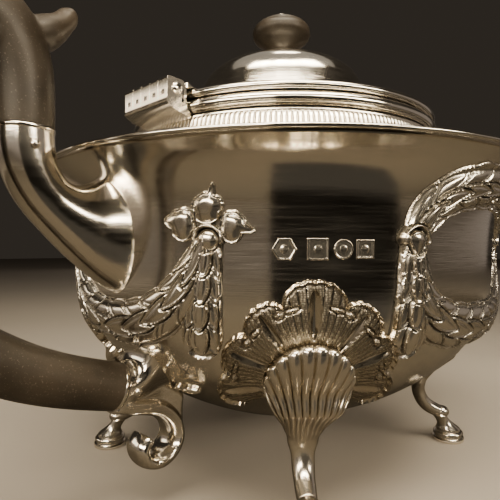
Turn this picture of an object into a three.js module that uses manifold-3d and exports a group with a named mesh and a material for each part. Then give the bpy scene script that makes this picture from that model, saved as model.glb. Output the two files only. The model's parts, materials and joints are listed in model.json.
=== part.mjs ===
// A silver teapot: a round bowl with a flared rim and a reeded neck, a hinged domed lid with a black knob,
// a black C-shaped handle pinned into two silver sockets, a curved spout, four shell feet, and applied
// shells, laurel festoons, wreaths, drops and flowers.
// Millimetres, +Z up, +X towards the spout. The origin is on the bowl's axis, on the table.
import * as THREE from "three";
import { mergeVertices } from "three/addons/utils/BufferGeometryUtils.js";
import Module from "manifold-3d";

const wasm = await Module();
wasm.setup();

// ---- Driving dimensions ----
const RIM_RADIUS = 70; // outside of the rim wire
const RIM_TOP = 81.85;
const BOWL_BOTTOM = 13.2;
const SHEET = 1.1; // the bowl's sheet thickness
const NECK_RADIUS = 44.6;
const LID_RADIUS = 45.1;
const LID_SEAT = 96.1; // underside of the lid's edge moulding
const DOME_TOP = 119.2;
const HANDLE_REACH = 106.6; // the grip's centreline at its furthest from the axis
const GRIP_RADIUS = 5.4;
const SPOUT_TIP_X = 108.15;
const SPOUT_TIP_Z = 100.6;
const HINGE_X = -48.4;
const HINGE_Z = 97;
const GAP = 0.3; // between pieces that touch
const TURN_SEGMENTS = 40; // round the bowl, neck and lid
const FOOT_ANGLES = [-135, -45, 45, 135]; // front left, front right, back right, back left, in degrees
const GARLAND_HALF_SPAN = 25.35; // degrees from a garland's middle to its ends
const GARLAND_END_Z = 64;

const rad = THREE.MathUtils.degToRad;
const v2 = (x, y) => new THREE.Vector2(x, y);

// ---- Materials ----
const silver = new THREE.MeshStandardMaterial({ color: 0xd9d4c8, roughness: 0.16, metalness: 1 });
const chasedSilver = new THREE.MeshStandardMaterial({ color: 0xc9c2b2, roughness: 0.26, metalness: 1 });
const ebony = new THREE.MeshStandardMaterial({ color: 0x1d1916, roughness: 0.5, metalness: 0 });

// ---- Outlines ----
// Outside of the bowl, radius against height, from the middle of the bottom up to the flare.
const bowlCurve = new THREE.SplineCurve([
  v2(0, BOWL_BOTTOM), v2(11, 13.5), v2(21.5, 15.9), v2(34.8, 21.8), v2(44.6, 28.2), v2(51.2, 34.4),
  v2(55.7, 40.6),
  v2(58.1, 47), v2(58.8, 53), v2(59, 60), v2(59.4, 66), v2(60.2, 71), v2(61.7, 75), v2(64.4, 78.2),
  v2(68.4, 80.45),
]);
const BOWL_SAMPLES = bowlCurve.getPoints(140);

// Radius and outward normal of the bowl's outside at height z.
function bowlAt(z) {
  let i = 1;
  while (i < BOWL_SAMPLES.length - 1 && BOWL_SAMPLES[i].y < z) i++;
  const a = BOWL_SAMPLES[i - 1];
  const b = BOWL_SAMPLES[i];
  const share = (z - a.y) / (b.y - a.y);
  const along = b.clone().sub(a).normalize();
  return { radius: a.x + share * (b.x - a.x), normal: v2(along.y, -along.x) };
}

// The point at a given distance outside the bowl's surface at height z.
function besideBowl(z, distance) {
  const { radius, normal } = bowlAt(z);
  return v2(radius + normal.x * distance, z + normal.y * distance);
}

// ---- Making shapes ----
function lathe(points, segments = TURN_SEGMENTS) {
  const geometry = new THREE.LatheGeometry(points, segments);
  geometry.rotateX(Math.PI / 2);
  return geometry;
}

// The outline moved sideways by a distance, for the other face of a sheet.
function offsetOutline(points, distance) {
  return points.map((p, i) => {
    const before = points[Math.max(0, i - 1)];
    const after = points[Math.min(points.length - 1, i + 1)];
    const along = after.clone().sub(before).normalize();
    const radius = p.x > 0 ? p.x - along.y * distance : 0;
    return v2(Math.max(0, radius), p.y + along.x * distance);
  });
}

// A closed tube along a curve in the XZ plane. acrossPlane and inPlane give its half widths at t from 0 to 1.
function tubeInPlane(curve, steps, sides, inPlane, acrossPlane) {
  const geometry = new THREE.CylinderGeometry(1, 1, 1, sides, steps);
  const place = geometry.attributes.position;
  for (let i = 0; i < place.count; i++) {
    const t = THREE.MathUtils.clamp(place.getY(i) + 0.5, 0, 1);
    const p = curve.getPoint(t);
    const along = curve.getTangent(t);
    const inward = place.getX(i) * inPlane(t);
    place.setXYZ(i, p.x - along.y * inward, place.getZ(i) * acrossPlane(t), p.y + along.x * inward);
  }
  return geometry;
}

// A value that follows [t, value] stations, smoothly between them.
function stations(...list) {
  return (t) => {
    let i = 1;
    while (i < list.length - 1 && list[i][0] < t) i++;
    const [t0, a] = list[i - 1];
    const [t1, b] = list[i];
    return THREE.MathUtils.lerp(a, b, THREE.MathUtils.smoothstep(t, t0, t1));
  };
}

// Lays a flat piece (u sideways, v height, w out) on the bowl's outside, centred on an angle.
function layOnBowl(geometry, angle) {
  const place = geometry.attributes.position;
  for (let i = 0; i < place.count; i++) {
    const v = place.getY(i);
    const p = besideBowl(v, place.getZ(i));
    const turn = rad(angle) + place.getX(i) / bowlAt(v).radius;
    place.setXYZ(i, p.x * Math.cos(turn), p.x * Math.sin(turn), p.y);
  }
  return geometry;
}

// A cord of oval section along a flat curve (u, v), lying on w = GAP.
function flatCord(curve, steps, sides, halfWidth, height) {
  const geometry = new THREE.CylinderGeometry(1, 1, 1, sides, steps);
  const place = geometry.attributes.position;
  for (let i = 0; i < place.count; i++) {
    const t = THREE.MathUtils.clamp(place.getY(i) + 0.5, 0, 1);
    const p = curve.getPoint(t);
    const along = curve.getTangent(t);
    const side = place.getX(i) * halfWidth(t);
    const out = GAP + (height(t) * (1 + place.getZ(i))) / 2;
    place.setXYZ(i, p.x + along.y * side, p.y - along.x * side, out);
  }
  return geometry;
}

// ---- Booleans ----
function solid(geometry) {
  const bare = geometry.index ? geometry.toNonIndexed() : geometry.clone();
  bare.deleteAttribute("normal");
  bare.deleteAttribute("uv");
  const merged = mergeVertices(bare, 1e-4);
  const made = new wasm.Manifold(
    new wasm.Mesh({
      numProp: 3,
      vertProperties: merged.attributes.position.array,
      triVerts: new Uint32Array(merged.index.array),
    }),
  );
  if (made.volume() > 0) return made;
  throw new Error("a piece is inside out");
}

function geometryOf(manifold) {
  const mesh = manifold.getMesh();
  const geometry = new THREE.BufferGeometry();
  geometry.setAttribute("position", new THREE.BufferAttribute(mesh.vertProperties, 3));
  geometry.setIndex(new THREE.BufferAttribute(mesh.triVerts, 1));
  return geometry;
}

// A round bar between two points, for pins, bores and holes.
function bar(from, to, radius, sides = 12) {
  const length = from.distanceTo(to);
  const geometry = new THREE.CylinderGeometry(radius, radius, length, sides);
  const along = to.clone().sub(from).normalize();
  geometry.applyQuaternion(new THREE.Quaternion().setFromUnitVectors(new THREE.Vector3(0, 1, 0), along));
  geometry.translate(...from.clone().add(to).multiplyScalar(0.5));
  return geometry;
}

function box(x0, x1, y0, y1, z0, z1) {
  const geometry = new THREE.BoxGeometry(x1 - x0, y1 - y0, z1 - z0);
  return geometry.translate((x0 + x1) / 2, (y0 + y1) / 2, (z0 + z1) / 2);
}

// The space that the bowl, shoulder and neck fill, with the gap round them, to cut a socket's or the
// spout's root.
const bowlSpace = solid(
  lathe([
    ...offsetOutline(bowlCurve.getPoints(48), -GAP).filter((p) => p.y < 80),
    v2(66, 83),
    v2(0, 83),
  ]),
);

// The space in front of the bowl that the shells take up, behind the feet.
const SHELL_FROM_Z = 28.6;
const shellSpace = solid(
  lathe([
    v2(0, SHELL_FROM_Z),
    ...offsetOutline(bowlCurve.getPoints(48), -1.95).filter((p) => p.y > SHELL_FROM_Z && p.y < 50),
    v2(0, 50),
  ]),
);

const teapot = new THREE.Group();
function add(name, geometry, material, turn = 0) {
  const mesh = new THREE.Mesh(geometry, material);
  mesh.name = name;
  mesh.rotation.z = turn;
  teapot.add(mesh);
}

// ---- Bowl ----
const STRAINER_RADIUS = 1.3;
const STRAINER_RINGS = [[0, 1], [4.4, 6], [8.8, 10]]; // ring radius, holes in the ring
const STRAINER_Z = 52;

function bowl() {
  const outside = bowlCurve.getPoints(17);
  const inside = offsetOutline(bowlCurve.getPoints(12), SHEET).reverse();
  let shell = solid(lathe([...outside, ...inside]));
  for (const [ring, count] of STRAINER_RINGS)
    for (let i = 0; i < count; i++) {
      const angle = (i * 2 * Math.PI) / count;
      const y = ring * 0.75 * Math.cos(angle);
      const z = STRAINER_Z + ring * Math.sin(angle);
      const hole = bar(new THREE.Vector3(45, y, z), new THREE.Vector3(66, y, z), STRAINER_RADIUS, 6);
      shell = shell.subtract(solid(hole));
    }
  return geometryOf(shell);
}

function rimWire() {
  const inner = RIM_RADIUS - 1.3;
  return lathe([
    v2(inner, RIM_TOP - 0.95), v2(RIM_RADIUS - 0.2, RIM_TOP - 0.95), v2(RIM_RADIUS, RIM_TOP - 0.5),
    v2(RIM_RADIUS - 0.2, RIM_TOP), v2(inner, RIM_TOP), v2(inner, RIM_TOP - 0.95),
  ]);
}

function shoulderPlate() {
  const top = new THREE.SplineCurve([
    v2(65.9, 81.6), v2(60, 80.9), v2(54, 81.3), v2(50.2, 82.8), v2(47.9, 85.4),
  ]).getPoints(7);
  const under = offsetOutline(top, 0.8).reverse();
  return lathe([...top, ...under, top[0]]);
}

function neckGallery() {
  const foot = NECK_RADIUS + 2.3;
  const inner = NECK_RADIUS - 1.4;
  return lathe([
    v2(foot - 1.5, 84.6), v2(foot, 84.6), v2(NECK_RADIUS, 91), v2(NECK_RADIUS, 92.3), v2(inner, 92.3),
    v2(foot - 1.5, 84.6),
  ]);
}

function collarMoulding() {
  return lathe([
    v2(42.6, 92.6), v2(44.7, 92.6), v2(45.3, 93.3), v2(45.4, 94.3), v2(45.1, 95.3), v2(44.2, 95.8),
    v2(42.6, 95.8),
    v2(42.6, 92.6),
  ]);
}

add("bowl", bowl(), silver);
add("rim_wire", rimWire(), silver);
add("shoulder_plate", shoulderPlate(), silver);
add("neck_gallery", neckGallery(), chasedSilver);
add("collar_moulding", collarMoulding(), silver);

// ---- Lid ----
const SCREW_RADIUS = 1.2;
const LID_SHEET = 1;
const KNOB_BASE = DOME_TOP + 2.6;

function lidCover() {
  const top = new THREE.SplineCurve([
    v2(41.3, 98.3), v2(34, 98.9), v2(28.6, 100.8), v2(25.4, 104), v2(23.9, 107.6), v2(22.6, 110.8),
    v2(19.8, 114),
    v2(14.6, 117), v2(8.4, 118.7), v2(SCREW_RADIUS + GAP, DOME_TOP),
  ]).getPoints(11);
  const under = offsetOutline(top, LID_SHEET).reverse();
  const shell = solid(lathe([...top, ...under, top[0]]));
  const vent = bar(new THREE.Vector3(13, 0, 110), new THREE.Vector3(13, 0, 125), 1, 8);
  return geometryOf(shell.subtract(solid(vent)));
}

function lidEdge() {
  const inner = LID_RADIUS - 3.5;
  return lathe([
    v2(inner, LID_SEAT), v2(LID_RADIUS - 0.7, LID_SEAT), v2(LID_RADIUS, LID_SEAT + 0.7),
    v2(LID_RADIUS - 0.1, LID_SEAT + 1.6), v2(LID_RADIUS - 0.9, LID_SEAT + 2.3),
    v2(LID_RADIUS - 2.4, LID_SEAT + 2.5),
    v2(inner, LID_SEAT + 2.2), v2(inner, LID_SEAT),
  ]);
}

function lidBezel() {
  return lathe([v2(41.2, 91.5), v2(42, 91.5), v2(42, 95.8), v2(41.2, 95.8), v2(41.2, 91.5)]);
}

function finialCollet() {
  const bore = SCREW_RADIUS + GAP;
  return lathe([
    v2(bore, DOME_TOP + GAP), v2(4.6, DOME_TOP + GAP), v2(5.2, DOME_TOP + 0.9), v2(3.9, DOME_TOP + 1.5),
    v2(4.2, KNOB_BASE - GAP), v2(bore, KNOB_BASE - GAP), v2(bore, DOME_TOP + GAP),
  ], 24);
}

function finialKnob() {
  const bore = SCREW_RADIUS + GAP;
  return lathe([
    v2(bore, KNOB_BASE), v2(3.8, KNOB_BASE), v2(3.5, KNOB_BASE + 1.4), v2(5.6, KNOB_BASE + 3.2),
    v2(8.3, KNOB_BASE + 5),
    v2(9.2, KNOB_BASE + 7), v2(8.4, KNOB_BASE + 9.2), v2(5.8, KNOB_BASE + 10.9), v2(3.4, KNOB_BASE + 11.5),
    v2(bore, KNOB_BASE + 11.7), v2(bore, KNOB_BASE),
  ], 24);
}

// The screw has a domed head on the knob and its thread end in the nut under the lid.
function finialScrew() {
  const head = KNOB_BASE + 12;
  return lathe([
    v2(0, DOME_TOP - 5.6), v2(SCREW_RADIUS, DOME_TOP - 5.6), v2(SCREW_RADIUS, head), v2(2.6, head),
    v2(2.2, head + 1),
    v2(1.2, head + 1.6), v2(0, head + 1.8),
  ], 16);
}

function finialNut() {
  const bore = SCREW_RADIUS + GAP;
  const top = DOME_TOP - LID_SHEET - 0.6;
  return lathe([v2(bore, top - 2.6), v2(4, top - 2.6), v2(4.4, top), v2(bore, top), v2(bore, top - 2.6)], 12);
}

add("lid_cover", lidCover(), silver);
add("lid_edge_moulding", lidEdge(), silver);
add("lid_bezel", lidBezel(), silver);
add("finial_collet", finialCollet(), silver);
add("finial_knob", finialKnob(), ebony);
add("finial_screw", finialScrew(), silver);
add("finial_nut", finialNut(), silver);

// ---- Hinge, five knuckles on one pin ----
const KNUCKLE = 3.42; // length of each knuckle
const HINGE_HALF = 2.5 * KNUCKLE;
const PIN_RADIUS = 0.8;
const KNUCKLE_RADIUS = 2.5;

function hingeBar(y0, y1, radius, sides = 16) {
  return bar(new THREE.Vector3(HINGE_X, y0, HINGE_Z), new THREE.Vector3(HINGE_X, y1, HINGE_Z), radius, sides);
}

function roundedBlock(y0, y1, halfX, halfZ, corner) {
  const shape = new THREE.Shape();
  shape.moveTo(-halfX + corner, -halfZ);
  for (const [x, z, from] of [[1, -1, -90], [1, 1, 0], [-1, 1, 90], [-1, -1, 180]])
    shape.absarc(x * (halfX - corner), z * (halfZ - corner), corner, rad(from), rad(from + 90));
  const settings = { depth: y1 - y0, bevelEnabled: false, curveSegments: 3 };
  const geometry = new THREE.ExtrudeGeometry(shape, settings);
  geometry.rotateX(Math.PI / 2);
  return geometry.translate(HINGE_X, y1, HINGE_Z);
}

function hingeBracket() {
  let bracket = solid(box(HINGE_X - 2.3, -45.75, -HINGE_HALF, HINGE_HALF, HINGE_Z - 3.5, HINGE_Z - 2.7));
  for (const slot of [-2, 0, 2]) {
    const middle = slot * KNUCKLE;
    const y0 = middle - KNUCKLE / 2 + (slot === -2 ? 0 : 0.1);
    const y1 = middle + KNUCKLE / 2 - (slot === 2 ? 0 : 0.1);
    bracket = bracket.add(solid(roundedBlock(y0, y1, 2.3, 2.75, 0.9)));
  }
  return geometryOf(bracket.subtract(solid(hingeBar(-12, 12, PIN_RADIUS + 0.09, 12))));
}

function lidHingeLeaf() {
  const top = HINGE_Z + KNUCKLE_RADIUS;
  let leaf = solid(box(-45, -42.6, -HINGE_HALF, HINGE_HALF, LID_SEAT + 2.8, top + 0.7));
  for (const slot of [-1, 1]) {
    const y0 = (slot - 0.5) * KNUCKLE + 0.1;
    const y1 = (slot + 0.5) * KNUCKLE - 0.1;
    leaf = leaf.add(solid(hingeBar(y0, y1, KNUCKLE_RADIUS)));
    leaf = leaf.add(solid(box(HINGE_X, -43.4, y0, y1, LID_SEAT + 2.8, top)));
  }
  return geometryOf(leaf.subtract(solid(hingeBar(-12, 12, PIN_RADIUS + 0.09, 12))));
}

function hingePin() {
  let pin = solid(hingeBar(-HINGE_HALF - GAP, HINGE_HALF + GAP, PIN_RADIUS, 12));
  for (const side of [-1, 1]) {
    const face = side * (HINGE_HALF + 0.1);
    const head = hingeBar(Math.min(face, face + side * 0.6), Math.max(face, face + side * 0.6), 1.45, 16);
    pin = pin.add(solid(head));
  }
  return geometryOf(pin);
}

add("hinge_bracket", hingeBracket(), silver);
add("hinge_pin", hingePin(), silver);
add("lid_hinge_leaf", lidHingeLeaf(), silver);

// ---- Handle: a black grip with two tenons, in an upper and a lower socket ----
const TENON_RADIUS = 3.3;
const UPPER_JOINT = v2(-78, 84.4); // where the grip meets the upper socket
const LOWER_JOINT = v2(-58.4, 30.5);
const LOWER_RISE = rad(17); // the lower socket's slope

const gripCurve = new THREE.SplineCurve([
  LOWER_JOINT, v2(-71, 34.5), v2(-82.2, 39.8), v2(-93.5, 48), v2(-102.6, 60), v2(-HANDLE_REACH, 74),
  v2(-105.2, 88), v2(-99.2, 100), v2(-90.5, 106), v2(-82.5, 103.2), v2(-78.6, 95), UPPER_JOINT,
]);
const lowerInward = v2(Math.cos(LOWER_RISE), -Math.sin(LOWER_RISE));

function in3(p, y = 0) {
  return new THREE.Vector3(p.x, y, p.y);
}
const lowerTenonEnd = LOWER_JOINT.clone().add(lowerInward.clone().multiplyScalar(7));
const upperTenonEnd = UPPER_JOINT.clone().add(v2(0, -9));
const upperPinAt = UPPER_JOINT.clone().add(v2(0, -4.2));
const lowerPinAt = LOWER_JOINT.clone().add(lowerInward.clone().multiplyScalar(2.5));

function pinBar(at, radius) {
  return bar(in3(at, -7), in3(at, 7), radius, 10);
}

// The thumb rest is a short horn on the grip's shoulder, towards the lid.
function handleGrip() {
  const thickness = stations([0, 5], [0.3, 5.5], [0.62, 5.6], [0.85, 6], [1, GRIP_RADIUS]);
  let grip = solid(tubeInPlane(gripCurve, 34, 12, thickness, thickness));
  const hornCurve = new THREE.SplineCurve([v2(-84, 99), v2(-77.5, 101.5), v2(-71.5, 105.5), v2(-67.6, 110)]);
  const horn = stations([0, 5], [0.5, 4], [1, 1.2]);
  grip = grip.add(solid(tubeInPlane(hornCurve, 8, 10, horn, horn)));
  grip = grip.add(solid(bar(in3(UPPER_JOINT.clone().add(v2(0, 2))), in3(upperTenonEnd), TENON_RADIUS)));
  const lowerFrom = LOWER_JOINT.clone().sub(lowerInward.clone().multiplyScalar(2));
  grip = grip.add(solid(bar(in3(lowerFrom), in3(lowerTenonEnd), TENON_RADIUS)));
  for (const at of [upperPinAt, lowerPinAt]) grip = grip.subtract(solid(pinBar(at, 0.9 + GAP)));
  return geometryOf(grip);
}

function upperSocket() {
  const top = UPPER_JOINT.clone().add(v2(0, -GAP));
  const curve = new THREE.SplineCurve([
    top, v2(-77.4, 78.6), v2(-73.4, 71.7), v2(-67.4, 67), v2(-59, 65), v2(-50, 65),
  ]);
  const inPlane = stations([0, 5.4], [0.35, 5.5], [0.6, 6.4], [0.8, 10.5], [1, 12.5]);
  const across = stations([0, 5.4], [0.35, 5.2], [0.6, 4.8], [0.8, 5.4], [1, 7.5]);
  const horn = solid(tubeInPlane(curve, 18, 14, inPlane, across)).subtract(bowlSpace);
  const boreEnd = in3(upperTenonEnd.clone().add(v2(0, -0.5)));
  const bore = bar(in3(top.clone().add(v2(0, 1))), boreEnd, TENON_RADIUS + GAP);
  return geometryOf(horn.subtract(solid(bore)).subtract(solid(pinBar(upperPinAt, 0.9 + GAP))));
}

function lowerSocket() {
  const start = LOWER_JOINT.clone().add(lowerInward.clone().multiplyScalar(GAP));
  const curve = new THREE.SplineCurve([start, v2(-52.5, 29), v2(-46.5, 27.8), v2(-40, 27), v2(-33, 26.8)]);
  const spread = stations([0, 5.1], [0.3, 5.2], [0.6, 8.2], [1, 15]);
  let socket = solid(tubeInPlane(curve, 14, 14, spread, spread));
  const tailCurve = new THREE.SplineCurve([
    v2(-47.5, 26), v2(-44.2, 21.4), v2(-43.7, 16.2), v2(-46.2, 12.2), v2(-50.4, 11.9), v2(-52.5, 14.9),
    v2(-50.7, 17.2),
  ]);
  const tail = stations([0, 4], [0.35, 2.6], [0.7, 1.9], [1, 1.6]);
  const tailAcross = stations([0, 4.4], [0.35, 3.9], [0.7, 3.4], [1, 3.2]);
  socket = socket.add(solid(tubeInPlane(tailCurve, 16, 10, tail, tailAcross))).subtract(bowlSpace);
  const mouth = start.clone().sub(lowerInward);
  const end = lowerTenonEnd.clone().add(lowerInward.clone().multiplyScalar(0.5));
  socket = socket.subtract(solid(bar(in3(mouth), in3(end), TENON_RADIUS + GAP)));
  return geometryOf(socket.subtract(solid(pinBar(lowerPinAt, 0.9 + GAP))));
}

// A rivet: a shank with a small round head at each end, standing a little proud of the socket.
function rivet(at, halfLength) {
  let made = solid(bar(in3(at, -halfLength), in3(at, halfLength), 0.9, 10));
  for (const side of [-1, 1]) {
    const from = in3(at, side * halfLength);
    const to = in3(at, side * (halfLength + 0.6));
    made = made.add(solid(bar(from, to, 1.5, 12)));
  }
  return geometryOf(made);
}

add("handle_grip", handleGrip(), ebony);
add("upper_socket", upperSocket(), silver);
add("lower_socket", lowerSocket(), silver);
add("upper_socket_rivet", rivet(upperPinAt, 5.7), silver);
add("lower_socket_rivet", rivet(lowerPinAt, 5.4), silver);

// ---- Spout ----
function spout() {
  const curve = new THREE.SplineCurve([
    v2(48, 48), v2(57, 49.5), v2(70, 54.5), v2(81.5, 64), v2(89.5, 77), v2(97, 90.5),
    v2(SPOUT_TIP_X, SPOUT_TIP_Z),
  ]);
  const height = stations([0, 17], [0.2, 13.5], [0.45, 9.6], [0.75, 6], [1, 4.9]);
  const width = stations([0, 12.5], [0.2, 10.5], [0.45, 8], [0.75, 5.6], [1, 4.9]);
  const outer = solid(tubeInPlane(curve, 16, 14, height, width));
  const longer = new THREE.SplineCurve([
    v2(40, 47), ...curve.points.slice(1, -1), v2(SPOUT_TIP_X, SPOUT_TIP_Z),
    v2(SPOUT_TIP_X + 6, SPOUT_TIP_Z + 4.4),
  ]);
  const thinner = (size) => (t) => size(Math.min(1, t * 1.12)) - 1;
  const inner = solid(tubeInPlane(longer, 16, 14, thinner(height), thinner(width)));
  return geometryOf(outer.subtract(inner).subtract(bowlSpace));
}
add("spout", spout(), silver);

// ---- Feet ----
const PAD_CENTRE = 53.85;

function foot() {
  const leg = new THREE.SplineCurve([
    besideBowl(42.2, 2.9), besideBowl(38.5, 3.5), besideBowl(34, 3.7), besideBowl(30, 3.6),
    v2(46.6, 24.6), v2(43.8, 20.4),
    v2(42.9, 17.2), v2(44, 14.2), v2(46.6, 11.4), v2(50, 9.5), v2(52.6, 8.9),
  ]);
  const thick = stations([0, 0.7], [0.15, 2], [0.4, 2.6], [0.6, 2.4], [0.8, 2.2], [1, 1.5]);
  const wide = stations([0, 3.4], [0.12, 7.4], [0.27, 9.5], [0.42, 7.4], [0.58, 4.4], [0.72, 2.9],
    [0.88, 2.4], [1, 2.2]);
  let made = solid(tubeInPlane(leg, 16, 10, thick, wide));
  const knob = new THREE.SphereGeometry(1, 10, 6).scale(2.7, 2.6, 1.7).translate(51.5, 0, 8.9);
  const neckCurve = new THREE.SplineCurve([v2(50.6, 9), v2(51.2, 6.2), v2(52.6, 3)]);
  const neck = stations([0, 2.3], [0.5, 2.6], [1, 3.6]);
  const pad = lathe([
    v2(0, 0), v2(4.5, 0), v2(4.75, 0.8), v2(4.6, 1.8), v2(4.1, 2.2), v2(4.2, 3), v2(3.6, 4),
    v2(2.2, 4.7), v2(0, 4.9),
  ], 16).translate(PAD_CENTRE, 0, 0);
  for (const piece of [knob, tubeInPlane(neckCurve, 3, 8, neck, neck), pad]) made = made.add(solid(piece));
  return geometryOf(made.subtract(bowlSpace).subtract(shellSpace));
}

const FOOT_NAMES = ["front_left", "front_right", "back_right", "back_left"];
FOOT_ANGLES.forEach((angle, i) => add("foot_" + FOOT_NAMES[i], foot(), silver, rad(angle)));

// ---- Applied ornament ----
const SHELL_ORIGIN_Z = 33.5;
const SHELL_LOBES = 7;
const SHELL_HALF_FAN = 122; // degrees each side of straight up

// A fan with a scalloped edge, thicker towards its root.
function shellMount() {
  const geometry = new THREE.BoxGeometry(1, 1, 1, 28, 2, 1);
  const place = geometry.attributes.position;
  for (let i = 0; i < place.count; i++) {
    const across = place.getX(i) * 2;
    const angle = rad(across * SHELL_HALF_FAN);
    const lobe = Math.abs(Math.cos((across * SHELL_LOBES * Math.PI) / 2));
    const share = THREE.MathUtils.lerp(0.3, 1, place.getY(i) + 0.5);
    const reach = (17.2 + 3.6 * Math.max(0, Math.cos(angle))) * (0.9 + 0.1 * lobe) * share;
    const v = SHELL_ORIGIN_Z + reach * Math.cos(angle) * (angle > -1.6 && angle < 1.6 ? 1 : 0.4);
    const out = place.getZ(i) > 0 ? GAP + 1.3 : GAP;
    place.setXYZ(i, reach * Math.sin(angle), v, out);
  }
  return geometry;
}

// The hanging swag, from one end up, down to its lowest point and up to the other end.
function festoon(lowest, endWidth, middleWidth) {
  const half = rad(GARLAND_HALF_SPAN) * 58.9 - 3.4;
  const curve = new THREE.SplineCurve([
    v2(-half, GARLAND_END_Z - 1), v2(-half * 0.86, 56.5), v2(-half * 0.6, 50), v2(-half * 0.3, 46.4),
    v2(0, lowest),
    v2(half * 0.3, 46.4), v2(half * 0.6, 50), v2(half * 0.86, 56.5), v2(half, GARLAND_END_Z - 1),
  ]);
  const bulge = (t) => Math.sin(Math.PI * t) ** 0.8;
  const width = (t) => THREE.MathUtils.lerp(endWidth, middleWidth, bulge(t)) / 2;
  const height = (t) => THREE.MathUtils.lerp(1.6, 3.2, bulge(t));
  return flatCord(curve, 16, 8, width, height);
}

// Half a swag, from the drop at one side down to the side of the spout's root.
function spoutSwag(way) {
  const half = way * (rad(GARLAND_HALF_SPAN) * 58.9 - 3.4);
  const curve = new THREE.SplineCurve([
    v2(half, GARLAND_END_Z - 1), v2(half * 0.9, 57), v2(half * 0.77, 52.4), v2(half * 0.62, 49.2),
  ]);
  return flatCord(curve, 8, 8, stations([0, 1.8], [0.6, 2.7], [1, 1.6]),
    stations([0, 1.6], [0.6, 2.6], [1, 1.8]));
}

// The upper half of a wreath, which rises onto the flare.
function wreathTop() {
  const half = rad(GARLAND_HALF_SPAN) * 58.9 - 3.4;
  const curve = new THREE.SplineCurve([
    v2(-half, GARLAND_END_Z + 1), v2(-half * 0.8, 69.4), v2(-half * 0.45, 73.4), v2(0, 75.2),
    v2(half * 0.45, 73.4),
    v2(half * 0.8, 69.4), v2(half, GARLAND_END_Z + 1),
  ]);
  const width = stations([0, 1.6], [0.25, 2.6], [0.75, 2.6], [1, 1.6]);
  const height = stations([0, 1.6], [0.25, 2.2], [0.75, 2.2], [1, 1.6]);
  return flatCord(curve, 14, 8, width, height);
}

// A tapering bunch of leaves below each end of a garland.
function laurelDrop() {
  const curve = new THREE.SplineCurve([v2(0, GARLAND_END_Z - 0.4), v2(0, 56), v2(0, 48), v2(0, 40.4)]);
  const width = stations([0, 1.3], [0.35, 1.9], [0.85, 3.1], [1, 1.4]);
  const height = stations([0, 1.6], [0.6, 2.4], [0.9, 2.4], [1, 0.8]);
  return flatCord(curve, 7, 8, width, height);
}

// Three leaves round the top of a drop.
function flower() {
  const geometry = new THREE.BoxGeometry(1, 1, 1, 18, 1, 1);
  const place = geometry.attributes.position;
  for (let i = 0; i < place.count; i++) {
    const across = place.getX(i) * 2;
    const angle = across * rad(112);
    const petal = Math.abs(Math.cos((across * 3 * Math.PI) / 2));
    const share = THREE.MathUtils.lerp(0.3, 1, place.getY(i) + 0.5);
    const reach = (3.4 + 4.6 * petal) * share;
    const out = place.getZ(i) > 0 ? GAP + 1.4 : GAP;
    place.setXYZ(i, reach * Math.sin(angle), GARLAND_END_Z + 3 + reach * Math.cos(angle), out);
  }
  return geometry;
}

FOOT_ANGLES.forEach((angle, i) =>
  add("shell_mount_" + FOOT_NAMES[i], layOnBowl(shellMount(), 0), chasedSilver, rad(angle)),
);
add("festoon_handle", layOnBowl(festoon(45.2, 3.6, 8.6), 180), chasedSilver);
add("swag_spout_a", layOnBowl(spoutSwag(-1), 0), chasedSilver);
add("swag_spout_b", layOnBowl(spoutSwag(1), 0), chasedSilver);
const SIDES = [["front", -90], ["back", 90]];
for (const [side, angle] of SIDES) {
  add("wreath_lower_" + side, layOnBowl(festoon(45.2, 3.6, 8.6), angle), chasedSilver);
  add("wreath_upper_" + side, layOnBowl(wreathTop(), angle), chasedSilver);
}
for (const [side, middle] of [["handle", 180], ["spout", 0], ...SIDES])
  for (const [hand, way] of [["a", -1], ["b", 1]]) {
    const angle = middle + way * GARLAND_HALF_SPAN;
    add("laurel_drop_" + side + "_" + hand, layOnBowl(laurelDrop(), angle), chasedSilver);
    if (side === "handle" || side === "spout")
      add("flower_" + side + "_" + hand, layOnBowl(flower(), angle), chasedSilver);
  }

export default teapot;
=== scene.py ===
"""The looks of the silver teapot, built round its CAD frame. Sizes are millimetres until a mesh is made."""
import json
import math

import bpy
import numpy as np
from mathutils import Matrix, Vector


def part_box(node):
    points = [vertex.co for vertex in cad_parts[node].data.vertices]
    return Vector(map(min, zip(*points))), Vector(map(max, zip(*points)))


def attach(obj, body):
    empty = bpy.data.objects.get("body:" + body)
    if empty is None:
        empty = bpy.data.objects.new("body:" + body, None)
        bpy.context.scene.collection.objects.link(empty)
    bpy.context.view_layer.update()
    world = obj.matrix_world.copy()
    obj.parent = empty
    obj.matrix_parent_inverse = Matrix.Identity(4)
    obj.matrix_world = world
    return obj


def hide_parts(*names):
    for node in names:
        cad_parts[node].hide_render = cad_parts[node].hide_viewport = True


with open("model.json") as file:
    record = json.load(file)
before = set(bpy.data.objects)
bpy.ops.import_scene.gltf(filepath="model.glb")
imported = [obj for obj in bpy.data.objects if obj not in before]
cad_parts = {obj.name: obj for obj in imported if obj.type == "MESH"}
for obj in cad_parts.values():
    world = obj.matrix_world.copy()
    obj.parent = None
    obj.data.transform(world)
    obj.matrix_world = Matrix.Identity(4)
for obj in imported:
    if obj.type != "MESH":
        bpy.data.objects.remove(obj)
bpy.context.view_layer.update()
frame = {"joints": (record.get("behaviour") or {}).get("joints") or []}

MM = 0.001
SEGMENTS = 288  # round the bowl, neck and lid


def at_mm(node):
    """A CAD node's lowest and highest corners in millimetres."""
    low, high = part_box(node)
    return np.array(low) / MM, np.array(high) / MM


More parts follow.
